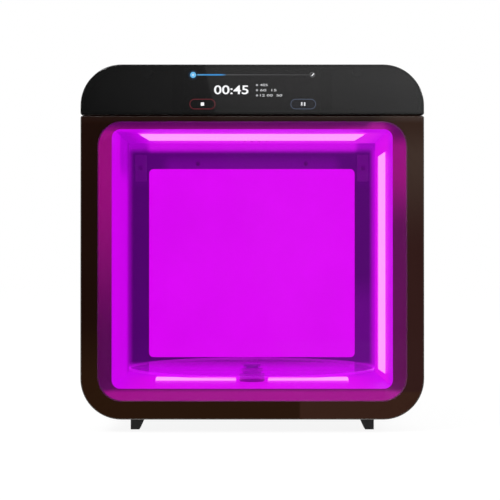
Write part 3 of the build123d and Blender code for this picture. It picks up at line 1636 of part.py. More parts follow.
# Cabinet screws: round the rear panel, behind the head, and up through the feet
with BuildPart() as cabinet_screws:
    with BuildSketch(facing(outer_panel_y + screw_head)):
        with Locations(*panel_screw_places):
            Circle(screw_radius)
    extrude(amount=screw_head)
    with BuildSketch(facing(outer_panel_y)):
        with Locations(*panel_screw_places):
            Circle(screw_shank)
    extrude(amount=screw_length)
    with BuildSketch(facing(skin_y + screw_head)):
        with Locations(*boss_places):
            Circle(screw_radius)
    extrude(amount=screw_head)
    with BuildSketch(facing(skin_y)):
        with Locations(*boss_places):
            Circle(screw_shank)
    extrude(amount=screw_length)
    with BuildSketch(Plane.XY.offset(foot_recess - screw_head)):
        with Locations(*foot_screw_places):
            Circle(screw_radius)
    extrude(amount=screw_head)
    with BuildSketch(Plane.XY.offset(foot_recess)):
        with Locations(*foot_screw_places):
            Circle(screw_shank)
    extrude(amount=pan_floor + sheet - foot_recess)
cabinet_screws.part.label = "cabinet_screws"
export_step(cabinet_screws.part, "parts/cabinet_screws.step")
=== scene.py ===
import bpy
import bmesh
import math
from mathutils import Matrix, Vector


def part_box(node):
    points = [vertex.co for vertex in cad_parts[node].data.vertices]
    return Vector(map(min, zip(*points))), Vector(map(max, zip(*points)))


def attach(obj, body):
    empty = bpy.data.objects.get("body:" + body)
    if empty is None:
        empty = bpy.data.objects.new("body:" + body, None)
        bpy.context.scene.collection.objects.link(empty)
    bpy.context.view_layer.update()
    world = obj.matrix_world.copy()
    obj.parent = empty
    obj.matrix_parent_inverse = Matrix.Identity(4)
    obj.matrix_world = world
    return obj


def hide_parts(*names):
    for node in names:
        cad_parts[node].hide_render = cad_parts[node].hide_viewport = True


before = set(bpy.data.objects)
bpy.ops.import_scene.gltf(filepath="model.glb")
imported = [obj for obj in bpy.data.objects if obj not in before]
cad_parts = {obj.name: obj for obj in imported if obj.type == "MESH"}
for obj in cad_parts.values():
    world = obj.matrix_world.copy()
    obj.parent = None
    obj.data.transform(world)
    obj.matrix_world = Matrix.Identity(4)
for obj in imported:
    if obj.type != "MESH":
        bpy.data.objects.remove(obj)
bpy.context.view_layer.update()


# Cabinet sheets: the outer shell, the base pan and the rear panel are folded from 1.5 mm steel
# and sprayed with a grey powder coat. The coat has a fine orange-peel skin, drifts a little in
# tone over a large sheet, is rubbed paler along its folds, and holds dust where it faces up.
def feed(tree, node, inputs):
    """Links an input that is given a socket, and sets one that is given a value."""
    for label, value in inputs.items():
        if isinstance(value, bpy.types.NodeSocket):
            tree.links.new(value, node.inputs[label])
        else:
            node.inputs[label].default_value = value


def add_node(tree, kind, inputs=None, **settings):
    """A node with its settings and its inputs."""
    node = tree.nodes.new(kind)
    for label, value in settings.items():
        setattr(node, label, value)
    feed(tree, node, inputs or {})
    return node


def maths(tree, operation, *terms, **settings):
    """The outcome of an operation on sockets and numbers."""
    node = add_node(tree, "ShaderNodeMath", dict(enumerate(terms)), operation=operation, **settings)
    return node.outputs["Value"]


def vector_maths(tree, operation, *terms):
    """The outcome of an operation on vectors."""
    node = add_node(tree, "ShaderNodeVectorMath", dict(enumerate(terms)), operation=operation)
    return node.outputs["Value" if operation in ("LENGTH", "DOT_PRODUCT") else "Vector"]


def ranged(tree, source, start=0.0, end=1.0, low=0.0, high=1.0, smooth=False):
    """A value that goes from low to high while its source goes from start to end."""
    node = add_node(tree, "ShaderNodeMapRange",
                    {"Value": source, "From Min": start, "From Max": end, "To Min": low,
                     "To Max": high},
                    interpolation_type="SMOOTHSTEP" if smooth else "LINEAR")
    return node.outputs["Result"]


def mixed(tree, share, under, over, **settings):
    """One colour mixed with another."""
    node = add_node(tree, "ShaderNodeMix", data_type="RGBA", **settings)
    feed(tree, node, {"Factor": share, "A": under, "B": over})
    return node.outputs["Result"]


def noise(tree, place, **inputs):
    """A noise read at a place."""
    return add_node(tree, "ShaderNodeTexNoise", {"Vector": place, **inputs}).outputs["Fac"]


def coordinate(tree, place, axis):
    """One coordinate of a place or a vector."""
    return add_node(tree, "ShaderNodeSeparateXYZ", {"Vector": place}).outputs[axis]


def mapped(tree, place, vector_type="POINT", **change):
    """A place with a Location, a Rotation or a Scale."""
    node = add_node(tree, "ShaderNodeMapping", {"Vector": place, **change}, vector_type=vector_type)
    return node.outputs["Vector"]


def object_place(tree):
    """The place on a piece that its material's patterns are read at."""
    node = tree.nodes.get("Texture Coordinate") or add_node(tree, "ShaderNodeTexCoord")
    return node.outputs["Object"]


def effect(name, inputs, outputs):
    """An empty shader group, with its inner sockets by name: what is given and the result."""
    group = bpy.data.node_groups.new(name, "ShaderNodeTree")
    for direction, sockets in (("INPUT", inputs), ("OUTPUT", outputs)):
        for label, kind in sockets.items():
            group.interface.new_socket(label, in_out=direction, socket_type="NodeSocket" + kind)
    return group, add_node(group, "NodeGroupInput").outputs, add_node(group, "NodeGroupOutput").inputs


def grain_effect():
    """Fine grain for relief and gloss, and a broad cloudiness for colour."""
    group, given, result = effect(
        "grain", {"Place": "Vector", "Grain Scale": "Float", "Cloud Scale": "Float"},
        {"Grain": "Float", "Cloud": "Float"})
    for label, detail in (("Grain", 3.0), ("Cloud", 2.0)):
        pattern = noise(group, given["Place"], Scale=given[f"{label} Scale"], Detail=detail)
        group.links.new(pattern, result[label])
    return group


def dust_effect():
    """Settled dust: a patchy mask on what faces up."""
    group, given, result = effect("dust", {"Place": "Vector", "Amount": "Float"}, {"Dust": "Float"})
    facing = add_node(group, "ShaderNodeNewGeometry").outputs["Normal"]
    patches = noise(group, given["Place"], Scale=45.0, Detail=6.0, Roughness=0.7)
    upward = ranged(group, coordinate(group, facing, "Z"), start=0.4, smooth=True)
    mask = maths(group, "MULTIPLY", upward,
                 maths(group, "MULTIPLY", patches, given["Amount"]), use_clamp=True)
    group.links.new(mask, result["Dust"])
    return group


def wear_effect():
    """Worn edges: a mask that follows sharp corners, broken up by fine noise."""
    group, given, result = effect(
        "wear", {"Place": "Vector", "Width": "Float", "Amount": "Float"}, {"Wear": "Float"})
    rounded = add_node(group, "ShaderNodeBevel", {"Radius": given["Width"]}, samples=4)
    flat = add_node(group, "ShaderNodeNewGeometry")
    likeness = vector_maths(group, "DOT_PRODUCT", rounded.outputs["Normal"], flat.outputs["Normal"])
    broken = noise(group, given["Place"], Scale=420.0, Detail=5.0)
    mask = maths(group, "MULTIPLY", ranged(group, likeness, start=0.999, end=0.85),
                 maths(group, "MULTIPLY", broken, given["Amount"]), use_clamp=True)
    group.links.new(mask, result["Wear"])
    return group


grain = grain_effect()
dust = dust_effect()
wear = wear_effect()


def new_material(name):
    """A material, its node tree and its shader."""
    material = bpy.data.materials.new(name)
    material.use_nodes = True
    return material, material.node_tree, shader(material)


def shader(material):
    """The material's surface shader."""
    return material.node_tree.nodes["Principled BSDF"]


def add_effect(material, group, source, **values):
    """Puts a shared effect in a material, reads it at the source vector and sets its inputs."""
    node = add_node(material.node_tree, "ShaderNodeGroup", node_tree=group, name=group.name)
    labels = {label.replace("_", " ").title(): value for label, value in values.items()}
    feed(material.node_tree, node, {"Place": source, **labels})
    return node.outputs


def present(socket):
    """What a socket has now: what feeds it, or its own value."""
    return socket.links[0].from_socket if socket.is_linked else socket.default_value


def overlay(material, mask, colour, label="Base Color"):
    """Lays a colour over what a surface already has, as far as the mask says."""
    socket = shader(material).inputs[label]
    tree = material.node_tree
    tree.links.new(mixed(tree, mask, present(socket), (*colour, 1.0)), socket)


def finish(name, dark, light, gloss, grain_scale=1500.0, relief=0.00002, metallic=0.0,
           cloud_scale=9.0, stretch=(1.0, 1.0, 1.0), dusty=0.0):
    """A surface that drifts between two tones, with grain in its gloss and its relief."""
    material, tree, surface = new_material(name)
    place = object_place(tree)
    skin = add_effect(material, grain, mapped(tree, place, Scale=stretch), grain_scale=grain_scale,
                      cloud_scale=cloud_scale)
    bump = add_node(tree, "ShaderNodeBump", {"Distance": relief, "Height": skin["Grain"]})
    feed(tree, surface, {
        "Base Color": mixed(tree, skin["Cloud"], (*dark, 1.0), (*light, 1.0)),
        "Roughness": ranged(tree, skin["Grain"], low=gloss[0], high=gloss[1]),
        "Normal": bump.outputs["Normal"], "Metallic": metallic})
    if dusty:
        settled = add_effect(material, dust, place, amount=dusty)
        overlay(material, settled["Dust"], (0.45, 0.43, 0.40))
    return material


def worn(material, colour, width=0.0006, amount=1.2):
    """Lets the edges of a finish rub through to a colour."""
    place = object_place(material.node_tree)
    rubbed = add_effect(material, wear, place, width=width, amount=amount)
    overlay(material, rubbed["Wear"], colour)
    return material


def dress(material, *nodes):
    """Gives CAD nodes their finish."""
    for node in nodes:
        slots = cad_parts[node].data.materials
        slots.clear()
        slots.append(material)


powder_coat = finish("powder_coat", (0.250, 0.260, 0.270), (0.335, 0.345, 0.355), (0.42, 0.62),
                     grain_scale=700.0, relief=0.00010, cloud_scale=7.5, dusty=0.14)
dress(worn(powder_coat, (0.44, 0.44, 0.43), width=0.0012, amount=0.9),
      "outer_shell", "base_pan", "rear_panel")


# Feet: four moulded rubber blocks, each held by a screw up through its middle. The rubber is
# matt black with a mottled bloom.
rubber = finish("rubber", (0.006, 0.006, 0.006), (0.016, 0.016, 0.017), (0.55, 0.85),
                grain_scale=2600.0, relief=0.00005, cloud_scale=120.0, dusty=0.2)
dress(rubber, "feet")


# Screws: zinc-plated pan heads with a cross recess. Six hold the rear panel, four the head from
# behind the face frame, four the feet, two the chamber back and two the corner plates, and six
# sit in pockets in the back of the door.
def screw_tree():
    """Geometry Nodes: a crossed pan-head screw on each point, along the point's facing."""
    tree = bpy.data.node_groups.new("crossed_screws", "GeometryNodeTree")
    face = tree.interface
    face.new_socket("Geometry", in_out="OUTPUT", socket_type="NodeSocketGeometry")
    face.new_socket("Seats", in_out="INPUT", socket_type="NodeSocketGeometry")
    for label in ("Head Radius", "Head Height", "Recess Width", "Recess Reach", "Recess Depth",
                  "Shank Radius", "Shank Length"):
        face.new_socket(label, in_out="INPUT", socket_type="NodeSocketFloat")
    face.new_socket("Plating", in_out="INPUT", socket_type="NodeSocketMaterial")
    given = add_node(tree, "NodeGroupInput").outputs

    def made(kind, inputs, **settings):
        """The mesh or geometry that a node makes."""
        return add_node(tree, kind, inputs, **settings).outputs[0]

    def vector(x=0.0, y=0.0, z=0.0):
        """A vector from sockets or numbers."""
        return made("ShaderNodeCombineXYZ", {"X": x, "Y": y, "Z": z})

    def times(source, factor):
        """A socket's value times a number."""
        return maths(tree, "MULTIPLY", source, factor)

    def moved(mesh, **change):
        """A mesh with a Translation or a Scale."""
        return made("GeometryNodeTransform", {"Geometry": mesh, **change})

    radius, height, length = given["Head Radius"], given["Head Height"], given["Shank Length"]
    disc = made("GeometryNodeMeshCylinder", {"Vertices": 28, "Radius": radius, "Depth": height})
    dome = made("GeometryNodeMeshUVSphere", {"Segments": 28, "Rings": 14})
    wide = times(radius, 1.3)
    head = add_node(tree, "GeometryNodeMeshBoolean", operation="INTERSECT")
    feed(tree, head, {"Mesh 2": moved(disc, Translation=vector(z=times(height, 0.5)))})
    feed(tree, head, {"Mesh 2": moved(dome, Scale=vector(wide, wide, height))})
    recess = add_node(tree, "GeometryNodeMeshBoolean", {"Mesh 1": head.outputs["Mesh"]},
                      operation="DIFFERENCE")
    long, narrow = times(given["Recess Reach"], 2.0), given["Recess Width"]
    deep = times(given["Recess Depth"], 2.0)
    for sides in ((long, narrow), (narrow, long)):
        arm = made("GeometryNodeMeshCube", {"Size": vector(*sides, deep)})
        feed(tree, recess, {"Mesh 2": moved(arm, Translation=vector(z=height))})
    shank = made("GeometryNodeMeshCylinder",
                 {"Vertices": 16, "Radius": given["Shank Radius"], "Depth": length})
    screw = add_node(tree, "GeometryNodeJoinGeometry", {"Geometry": recess.outputs["Mesh"]})
    feed(tree, screw, {"Geometry": moved(shank, Translation=vector(z=times(length, -0.5)))})
    facing = add_node(tree, "GeometryNodeInputNamedAttribute", {"Name": "facing"},
                      data_type="FLOAT_VECTOR")
    turn = made("FunctionNodeAlignRotationToVector", {"Vector": facing.outputs["Attribute"]},
                axis="Z")
    spread = made("GeometryNodeInstanceOnPoints",
                  {"Points": given["Seats"], "Instance": screw.outputs["Geometry"],
                   "Rotation": turn})
    solid = made("GeometryNodeRealizeInstances", {"Geometry": spread})
    plated = made("GeometryNodeSetMaterial", {"Geometry": solid, "Material": given["Plating"]})
    add_node(tree, "NodeGroupOutput", {"Geometry": plated})
    return tree


crossed_screws = screw_tree()


def link_object(name, data):
    """An object in the scene."""
    piece = bpy.data.objects.new(name, data)
    bpy.context.scene.collection.objects.link(piece)
    return piece


def finished_mesh(piece):
    """The plain mesh of an object as its modifiers or its curve make it."""
    bpy.context.view_layer.update()
    graph = bpy.context.evaluated_depsgraph_get()
    return bpy.data.meshes.new_from_object(piece.evaluated_get(graph), depsgraph=graph)


def add_screws(name, body, plating, seats, replaced, head=(0.0032, 0.0018), shank=(0.0016, 0.007)):
    """Screws at (place, facing) seats, standing for the CAD node of plain ones."""
    points = bpy.data.meshes.new(name)
    points.from_pydata([place for place, _ in seats], [], [])
    facing = points.attributes.new("facing", "FLOAT_VECTOR", "POINT")
    for item, (_, direction) in zip(facing.data, seats):
        item.vector = direction
    piece = link_object(name, points)
    modifier = piece.modifiers.new("screws", "NODES")
    modifier.node_group = crossed_screws
    sizes = {"Head Radius": head[0], "Head Height": head[1], "Recess Width": 0.22 * head[0],
             "Recess Reach": 0.62 * head[0], "Recess Depth": 0.55 * head[1],
             "Shank Radius": shank[0], "Shank Length": shank[1], "Plating": plating}
    for item in crossed_screws.interface.items_tree:
        if item.in_out == "INPUT" and item.name in sizes:
            modifier[item.identifier] = sizes[item.name]
    mesh = finished_mesh(piece)
    piece.modifiers.clear()
    piece.data = mesh
    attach(piece, body)
    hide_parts(replaced)


def seats_at(column, ys, zs, facing):
    """Seats in a column on either side of the middle, all with one facing."""
    return [((x, y, z), facing) for x in (-column, column) for y in ys for z in zs]


backward, forward, downward = (0, 1, 0), (0, -1, 0), (0, 0, -1)
panel_column, panel_rows, panel_outside = 0.1857, (0.0495, 0.2165, 0.3715), 0.206
boss_column, boss_rows, boss_back = 0.12, (0.3682, 0.4105), -0.183
foot_column, foot_rows, foot_recess = 0.1356, (-0.1576, 0.177), 0.005
door_column, door_rows, pocket_floor = 0.1855, (0.063, 0.18725, 0.3115), -0.1896
zinc = finish("zinc", (0.42, 0.42, 0.40), (0.62, 0.61, 0.57), (0.22, 0.45), grain_scale=1800.0,
              metallic=1.0, cloud_scale=150.0)
cabinet_seats = (seats_at(panel_column, (panel_outside,), panel_rows, backward)
                 + seats_at(boss_column, (boss_back,), boss_rows, backward)
                 + seats_at(foot_column, foot_rows, (foot_recess,), downward))
add_screws("crossed_cabinet_screws", "cabinet", zinc, cabinet_seats, "cabinet_screws")
add_screws("crossed_door_screws", "door", zinc,
           seats_at(door_column, (pocket_floor,), door_rows, backward), "door_screws",
           head=(0.0026, 0.0016), shank=(0.0013, 0.0064))


# Face frame: the moulded front of the cabinet, in glass-filled nylon with a fine eroded grain.
# It closes the shell, and carries the door's hinges and catches and the head.
moulding = finish("dark_moulding", (0.011, 0.010, 0.010), (0.019, 0.017, 0.017), (0.42, 0.6),
                  grain_scale=1900.0, relief=0.00005, cloud_scale=14.0, dusty=0.08)
dress(moulding, "face_frame")


# Head: a shallow moulded housing, closed by a smoked acrylic plate over its whole front. The
# plate is polished, very slightly wavy, and has faint wipe marks.
def clear(name, tint, wipe=0.012, wave=0.000004, ior=1.49, coat=0.0):
    """Clear glass or acrylic with its tint, a slow waviness and faint wipe marks."""
    material, tree, surface = new_material(name)
    wiped = mapped(tree, object_place(tree), Rotation=(0.0, 0.6, 0.0), Scale=(1.0, 1.0, 0.25))
    skin = add_effect(material, grain, wiped, grain_scale=26.0, cloud_scale=5.0)
    bump = add_node(tree, "ShaderNodeBump", {"Distance": wave, "Height": skin["Cloud"]})
    thicker = tuple(0.985 * part for part in tint)
    feed(tree, surface, {
        "IOR": ior, "Coat Weight": coat, "Transmission Weight": 1.0,
        "Roughness": ranged(tree, skin["Grain"], start=0.5, end=0.8, high=wipe, smooth=True),
        "Base Color": mixed(tree, skin["Cloud"], (*thicker, 1.0), (*tint, 1.0)),
        "Normal": bump.outputs["Normal"]})
    return material


def glaze(material, *nodes):
    """Gives CAD nodes clear glass or acrylic, which lets the lamps' light through."""
    dress(material, *nodes)
    for node in nodes:
        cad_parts[node].visible_shadow = False


dress(moulding, "head_housing")
glaze(clear("smoked_plate", (0.22, 0.22, 0.225)), "head_window")


# Display: a bar-shaped touch display in a black rim, in a channel folded from blackened strip.
# Behind the smoked plate only what it lights up shows: a progress line with a dot at its start
# and a ring at its end, the minutes and seconds left, three lines of settings, and two keys.
black_glass = finish("black_glass", (0.004, 0.004, 0.005), (0.007, 0.007, 0.008), (0.05, 0.12),
                     grain_scale=300.0, relief=0.0, cloud_scale=12.0)
dress(black_glass, "display_module")
blackened = finish("blackened_steel", (0.008, 0.008, 0.009), (0.016, 0.016, 0.017), (0.4, 0.6),
                   grain_scale=1300.0, metallic=0.6, cloud_scale=60.0)
dress(blackened, "display_bracket")


def ramp(tree, source, stops):
    """A colour that follows the (value, colour) stops of its source."""
    first, last = stops[0][0], stops[-1][0]
    node = add_node(tree, "ShaderNodeValToRGB", {"Fac": ranged(tree, source, first, last)})
    points = node.color_ramp.elements
    for value, colour in stops[1:-1]:
        points.new((value - first) / (last - first)).color = (*colour, 1.0)
    points[0].color = (*stops[0][1], 1.0)
    points[-1].color = (*stops[-1][1], 1.0)
    return node.outputs["Color"]


def pixels(name, colour):
    """A lit part of the display, in its grid of pixels: one colour, or a list of stops along X."""
    material, tree, surface = new_material(name)
    pitch, gap = 0.00028, 0.00002
    place = object_place(tree)
    upright = mapped(tree, place, Rotation=(math.radians(-90.0), 0.0, 0.0))
    grid = add_node(tree, "ShaderNodeTexBrick",
                    {"Vector": upright, "Scale": 1.0, "Brick Width": pitch, "Row Height": pitch,
                     "Mortar Size": gap, "Color1": (1.0, 1.0, 1.0, 1.0),
                     "Color2": (0.94, 0.94, 0.94, 1.0), "Mortar": (0.6, 0.6, 0.6, 1.0)}, offset=0.0)
    if isinstance(colour, list):
        shade = ramp(tree, coordinate(tree, place, "X"), colour)
    else:
        shade = (*colour, 1.0)
    glow = mixed(tree, 1.0, grid.outputs["Color"], shade, blend_type="MULTIPLY")
    feed(tree, surface, {"Base Color": (0.004, 0.004, 0.005, 1.0), "Roughness": 0.1,
                         "Emission Color": glow, "Emission Strength": 5.6})
    return material


def on_plane(origin, across, up):
    """Where a flat drawing goes: its X runs across, its Y up, and it faces their cross product."""
    across, up = Vector(across).normalized(), Vector(up).normalized()
    turn = Matrix((across, up, across.cross(up))).transposed().to_4x4()
    return Matrix.Translation(origin) @ turn


def arc(x, y, radius, start, turn, count):
    """Points round a centre, from a start angle on, each a turn further."""
    angles = [math.radians(start + turn * number) for number in range(count)]
    return [(x + radius * math.cos(angle), y + radius * math.sin(angle)) for angle in angles]


def circle(x, y, radius, steps=40):
    """A round outline."""
    return arc(x, y, radius, 0.0, 360.0 / steps, steps)


def pill(left, right, low, high, radius, steps=10):
    """A rectangular outline with round corners."""
    corners = ((right - radius, high - radius, 0.0), (left + radius, high - radius, 90.0),
               (left + radius, low + radius, 180.0), (right - radius, low + radius, 270.0))
    return [point for x, y, start in corners
            for point in arc(x, y, radius, start, 90.0 / steps, steps + 1)]


def drawing(name, outlines, thickness):
    """A flat sheet cut to outlines in millimetres: an outline inside another is a hole."""
    curve = bpy.data.curves.new(name, "CURVE")
    curve.dimensions = "2D"
    curve.fill_mode = "BOTH"
    curve.extrude = thickness / 2
    for outline in outlines:
        spline = curve.splines.new("POLY")
        spline.points.add(len(outline) - 1)
        for point, (x, y) in zip(spline.points, outline):
            point.co = (x / 1000, y / 1000, 0.0, 1.0)
        spline.use_cyclic_u = True
    return curve


def writing(name, body, thickness, bold=0.0):
    """Figures as a flat sheet, a little bolder if asked."""
    curve = bpy.data.curves.new(name, "FONT")
    curve.body = body
    curve.size = 0.01
    curve.extrude = thickness / 2
    curve.offset = bold
    return curve


def flat_piece(name, curve, plane, material, body, box=None):
    """Makes a flat drawing a mesh, fits it in a box if given, and lays it on its plane."""
    holder = link_object(name, curve)
    mesh = finished_mesh(holder)
    bpy.data.objects.remove(holder)
    if box:
        left, right, low, high = (side / 1000 for side in box)
        xs, ys = [v.co.x for v in mesh.vertices], [v.co.y for v in mesh.vertices]
        size = Matrix.Diagonal(((right - left) / (max(xs) - min(xs)),
                                (high - low) / (max(ys) - min(ys)), 1.0, 1.0))
        mesh.transform(Matrix.Translation((left, low, 0.0)) @ size
                       @ Matrix.Translation((-min(xs), -min(ys), 0.0)))
    mesh.transform(plane)
    shape = bmesh.new()
    shape.from_mesh(mesh)
    bmesh.ops.remove_doubles(shape, verts=shape.verts, dist=1e-7)
    bmesh.ops.recalc_face_normals(shape, faces=shape.faces)
    shape.to_mesh(mesh)
    shape.free()
    mesh.materials.clear()
    mesh.materials.append(material)
    piece = link_object(name, mesh)
    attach(piece, body)


display_skin, display_front = 0.00006, -0.2079
display_face = on_plane((0.0, display_front - display_skin, 0.0), (1, 0, 0), (0, 0, 1))


def shown(name, outlines, colour, lift=0):
    """One lit figure of the display, lifted by so many skins where it lies on another."""
    plane = display_face @ Matrix.Translation((0.0, 0.0, lift * display_skin))
    flat_piece(name, drawing(name, outlines, display_skin), plane, pixels(name, colour),
               "cabinet")


def figures_shown(name, body, colour, box, bold):
    """Lit figures of the display, fitted in a box in millimetres."""
    flat_piece(name, writing(name, body, display_skin, bold), display_face,
               pixels(name, colour), "cabinet", box=box)


def line(left, right, half):
    """A stretch of the progress line."""
    return pill(left, right, line_height - half, line_height + half, half - 0.01)


def key_outline(left, right, inset):
    """The outline of a touch key, or one inside it."""
    return pill(left + inset, right - inset, key_low + inset, key_high - inset, 5.8 - inset)


def block(middle, width, height, radius):
    """A block of a key's sign."""
    key_middle = (key_low + key_high) / 2
    return pill(middle - width / 2, middle + width / 2, key_middle - height / 2,
                key_middle + height / 2, radius, 4)


line_height, dot_place, end_place = 406.5, (-67.3, 406.4), (68.3, 406.6)
done_start, done_end, left_start, left_end = -63.4, -29.5, -29.0, 64.9
key_low, key_high, key_rim, key_field = 367.3, 379.1, 0.8, 0.9
stop_key, pause_key = (-71.4, -42.0), (43.4, 72.4)
stop_middle, pause_middles = -56.7, (56.2, 59.5)
timer_box = (-43.4, -4.4, 384.4, 394.5)
settings_left, settings_top, settings_pitch, figure_height = 8.8, 393.6, 5.9, 2.7
mark_across, mark_above, mark_radius = 5.3, 1.3, 1.25
white, grey = (1.0, 1.0, 1.0), (0.42, 0.42, 0.43)
sky, blue = (0.14, 0.50, 0.85), (0.03, 0.27, 0.62)

shown("progress_dot", [circle(*dot_place, 3.4)], sky)
shown("progress_heart", [circle(*dot_place, 1.3)], (0.55, 0.75, 0.95), lift=2)
shown("progress_glow", [circle(*dot_place, 5.4), circle(*dot_place, 3.7)], (0.002, 0.012, 0.030))
shown("progress_done", [line(done_start, done_end, 0.8)],
      [(done_start / 1000, (0.10, 0.33, 0.55)), (-0.050, blue), (-0.036, blue),
       (done_end / 1000, (0.05, 0.08, 0.10))])
shown("progress_left", [line(left_start, left_end, 0.6)],
      [(left_start / 1000, (0.060, 0.060, 0.062)), (0.03, (0.035, 0.035, 0.036)),
       (left_end / 1000, (0.025, 0.025, 0.025))])
shown("progress_end", [circle(*end_place, 3.0), circle(*end_place, 2.2)], (0.11, 0.11, 0.11))
shown("progress_tick", [[(68.0, 405.0), (70.4, 407.6), (69.8, 408.3), (68.0, 406.7), (67.1, 405.9),
                         (66.5, 406.5)]], white)
figures_shown("timer_figures", "00:45", white, timer_box, bold=0.00012)
for row, (figures, right) in enumerate((("405", 17.5), ("60  15", 27.5), ("12 00  50", 34.0))):
    low = settings_top - settings_pitch * row
    shown(f"setting_mark_{row + 1}", [circle(mark_across, low + mark_above, mark_radius, 20)], grey)
    figures_shown(f"setting_figures_{row + 1}", figures, (0.62, 0.62, 0.62),
                  (settings_left, right, low, low + figure_height), bold=0.0001)
shown("stop_key_rim", [key_outline(*stop_key, inset) for inset in (0.0, key_rim)],
      (0.13, 0.012, 0.020))
shown("stop_key_sign", [block(stop_middle, 3.8, 3.8, 0.5)], white)
shown("pause_key_rim", [key_outline(*pause_key, inset) for inset in (0.0, key_rim)],
      (0.055, 0.07, 0.11))
shown("pause_key_field", [key_outline(*pause_key, key_field)], (0.0008, 0.0012, 0.0035))
shown("pause_key_sign", [block(middle, 1.6, 4.0, 0.4) for middle in pause_middles], white)


# Door: a tinted acrylic panel bonded to a moulded brown frame, with a second pane of clear
# glass in the frame's rebate. Two steel keepers in its back meet the catch magnets. The frame's
# light is painted as a warm glow: a painted reflection that is paler to the right and along the
# foot and strongest at the upper right, and painted shade along its rounded edge. The panel's
# ground edge is dark, with a faint painted highlight along it.
def distance_effect():
    """How far a place is outside an upright box."""
    group, given, result = effect(
        "distance_from_box", {"Place": "Vector", "Low Corner": "Vector", "High Corner": "Vector"},
        {"Distance": "Float"})
    below = vector_maths(group, "SUBTRACT", given["Low Corner"], given["Place"])
    above = vector_maths(group, "SUBTRACT", given["Place"], given["High Corner"])
    beyond = vector_maths(group, "MAXIMUM", vector_maths(group, "MAXIMUM", below, above))
    group.links.new(vector_maths(group, "LENGTH", beyond), result["Distance"])
    return group


distance_from_box = distance_effect()
far = 1.0


def region(left=-far, right=far, front=-far, back=far, low=-far, high=far):
    """The two corners of an upright box, endless on the sides that aren't given."""
    return (left, front, low), (right, back, high)


def outside(material, box, start, end):
    """A mask that grows between two distances from a box, outwards, or towards the box if start
    is the larger."""
    tree = material.node_tree
    reach = add_effect(material, distance_from_box, object_place(tree), low_corner=box[0],
                       high_corner=box[1])
    return ranged(tree, reach["Distance"], start, end, smooth=True)


def lit(material, colour, *layers):
    """Gives a surface a glow: its own light where it is a lamp, and elsewhere painted light and
    shade: a colour, and layers of (colour, box, start, end) that take over by the mask of that box."""
    feed(material.node_tree, shader(material),
         {"Emission Color": (*colour, 1.0), "Emission Strength": 1.0})
    for layer, *reach in layers:
        overlay(material, outside(material, *reach), layer, "Emission Color")
    tree, socket = material.node_tree, shader(material).inputs["Emission Color"]
    mottle = ranged(tree, tree.nodes["grain"].outputs["Cloud"], low=0.94, high=1.06)
    tree.links.new(mixed(tree, 1.0, present(socket), mottle, blend_type="MULTIPLY"), socket)
    return material


door_low, door_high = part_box("door_panel")
corner = 0.0465
edge_core = region(left=door_low[0] + corner, right=door_high[0] - corner, low=door_low[2] + corner)
brown = finish("brown_moulding", (0.036, 0.0115, 0.0055), (0.052, 0.018, 0.009), (0.4, 0.55),
               grain_scale=1900.0, relief=0.00004, cloud_scale=7.0)
# Painted light on the frame: a warm painted reflection, and painted shade along its rounded edge.
lit(brown, (0.0050, 0.0010, 0.0003),
    ((0.0265, 0.0095, 0.0085), region(left=0.10), 0.07, 0.0),
    ((0.0450, 0.0300, 0.0230), region(left=0.14, low=0.32), 0.12, 0.0),
    ((0.0165, 0.0065, 0.0020), region(right=0.055, high=0.050), 0.09, 0.0),
    ((0.0340, 0.0140, 0.0085), region(left=0.055, high=0.045), 0.002, 0.0),
    ((0.0070, 0.0015, 0.0005), region(low=0.353), 0.004, 0.0),
    ((0.0300, 0.0170, 0.0120), region(left=0.17, low=0.353), 0.04, 0.0),
    ((0.0040, 0.0012, 0.0008), edge_core, corner - 0.0006, corner - 0.0002))
dress(brown, "door_frame")
tinted = clear("tinted_plate", (0.88, 0.83, 0.84))
ground_edge_and_highlight = edge_core, corner - 0.0014, corner - 0.0008
# The ground edge is dark; the faint pale glow along it is a painted highlight.
lit(tinted, (0.0, 0.0, 0.0), ((0.040, 0.036, 0.032), *ground_edge_and_highlight))
overlay(tinted, outside(tinted, *ground_edge_and_highlight), (0.02, 0.02, 0.02))
glaze(tinted, "door_panel")
glaze(clear("clear_glass", (0.975, 0.985, 0.98)), "door_inner_glass")
ground_steel = worn(finish("ground_steel", (0.46, 0.46, 0.46), (0.58, 0.58, 0.59), (0.2, 0.36),
                           grain_scale=500.0, metallic=1.0, stretch=(1.0, 1.0, 9.0)),
                    (0.72, 0.72, 0.72))
dress(ground_steel, "door_keepers")


# Hinges: two steel arms with knuckles, leaves screwed behind the face frame, and ground pins
# pressed through the knuckles. The arms are blackened where the door leaves them in view.
hinge_black = worn(finish("hinge_black", (0.012, 0.012, 0.012), (0.022, 0.021, 0.021), (0.35, 0.5),
                          grain_scale=1100.0, metallic=0.5, cloud_scale=90.0), (0.3, 0.3, 0.3))
dress(hinge_black, "hinge_arms")
dress(ground_steel, "hinge_pins")


# Catches and interlock: nickel-plated magnets in cups of the face frame, and a black plunger
# that the shut door pushes into its switch.
nickel = finish("nickel", (0.56, 0.55, 0.50), (0.66, 0.65, 0.60), (0.08, 0.2), grain_scale=900.0,
                metallic=1.0, cloud_scale=200.0)
dress(nickel, "catch_magnets")
black_plastic = finish("black_plastic", (0.010, 0.010, 0.010), (0.020, 0.020, 0.020), (0.3, 0.46),
                       grain_scale=2200.0, relief=0.00003, cloud_scale=40.0)
dress(black_plastic, "interlock_plunger", "interlock_switch")
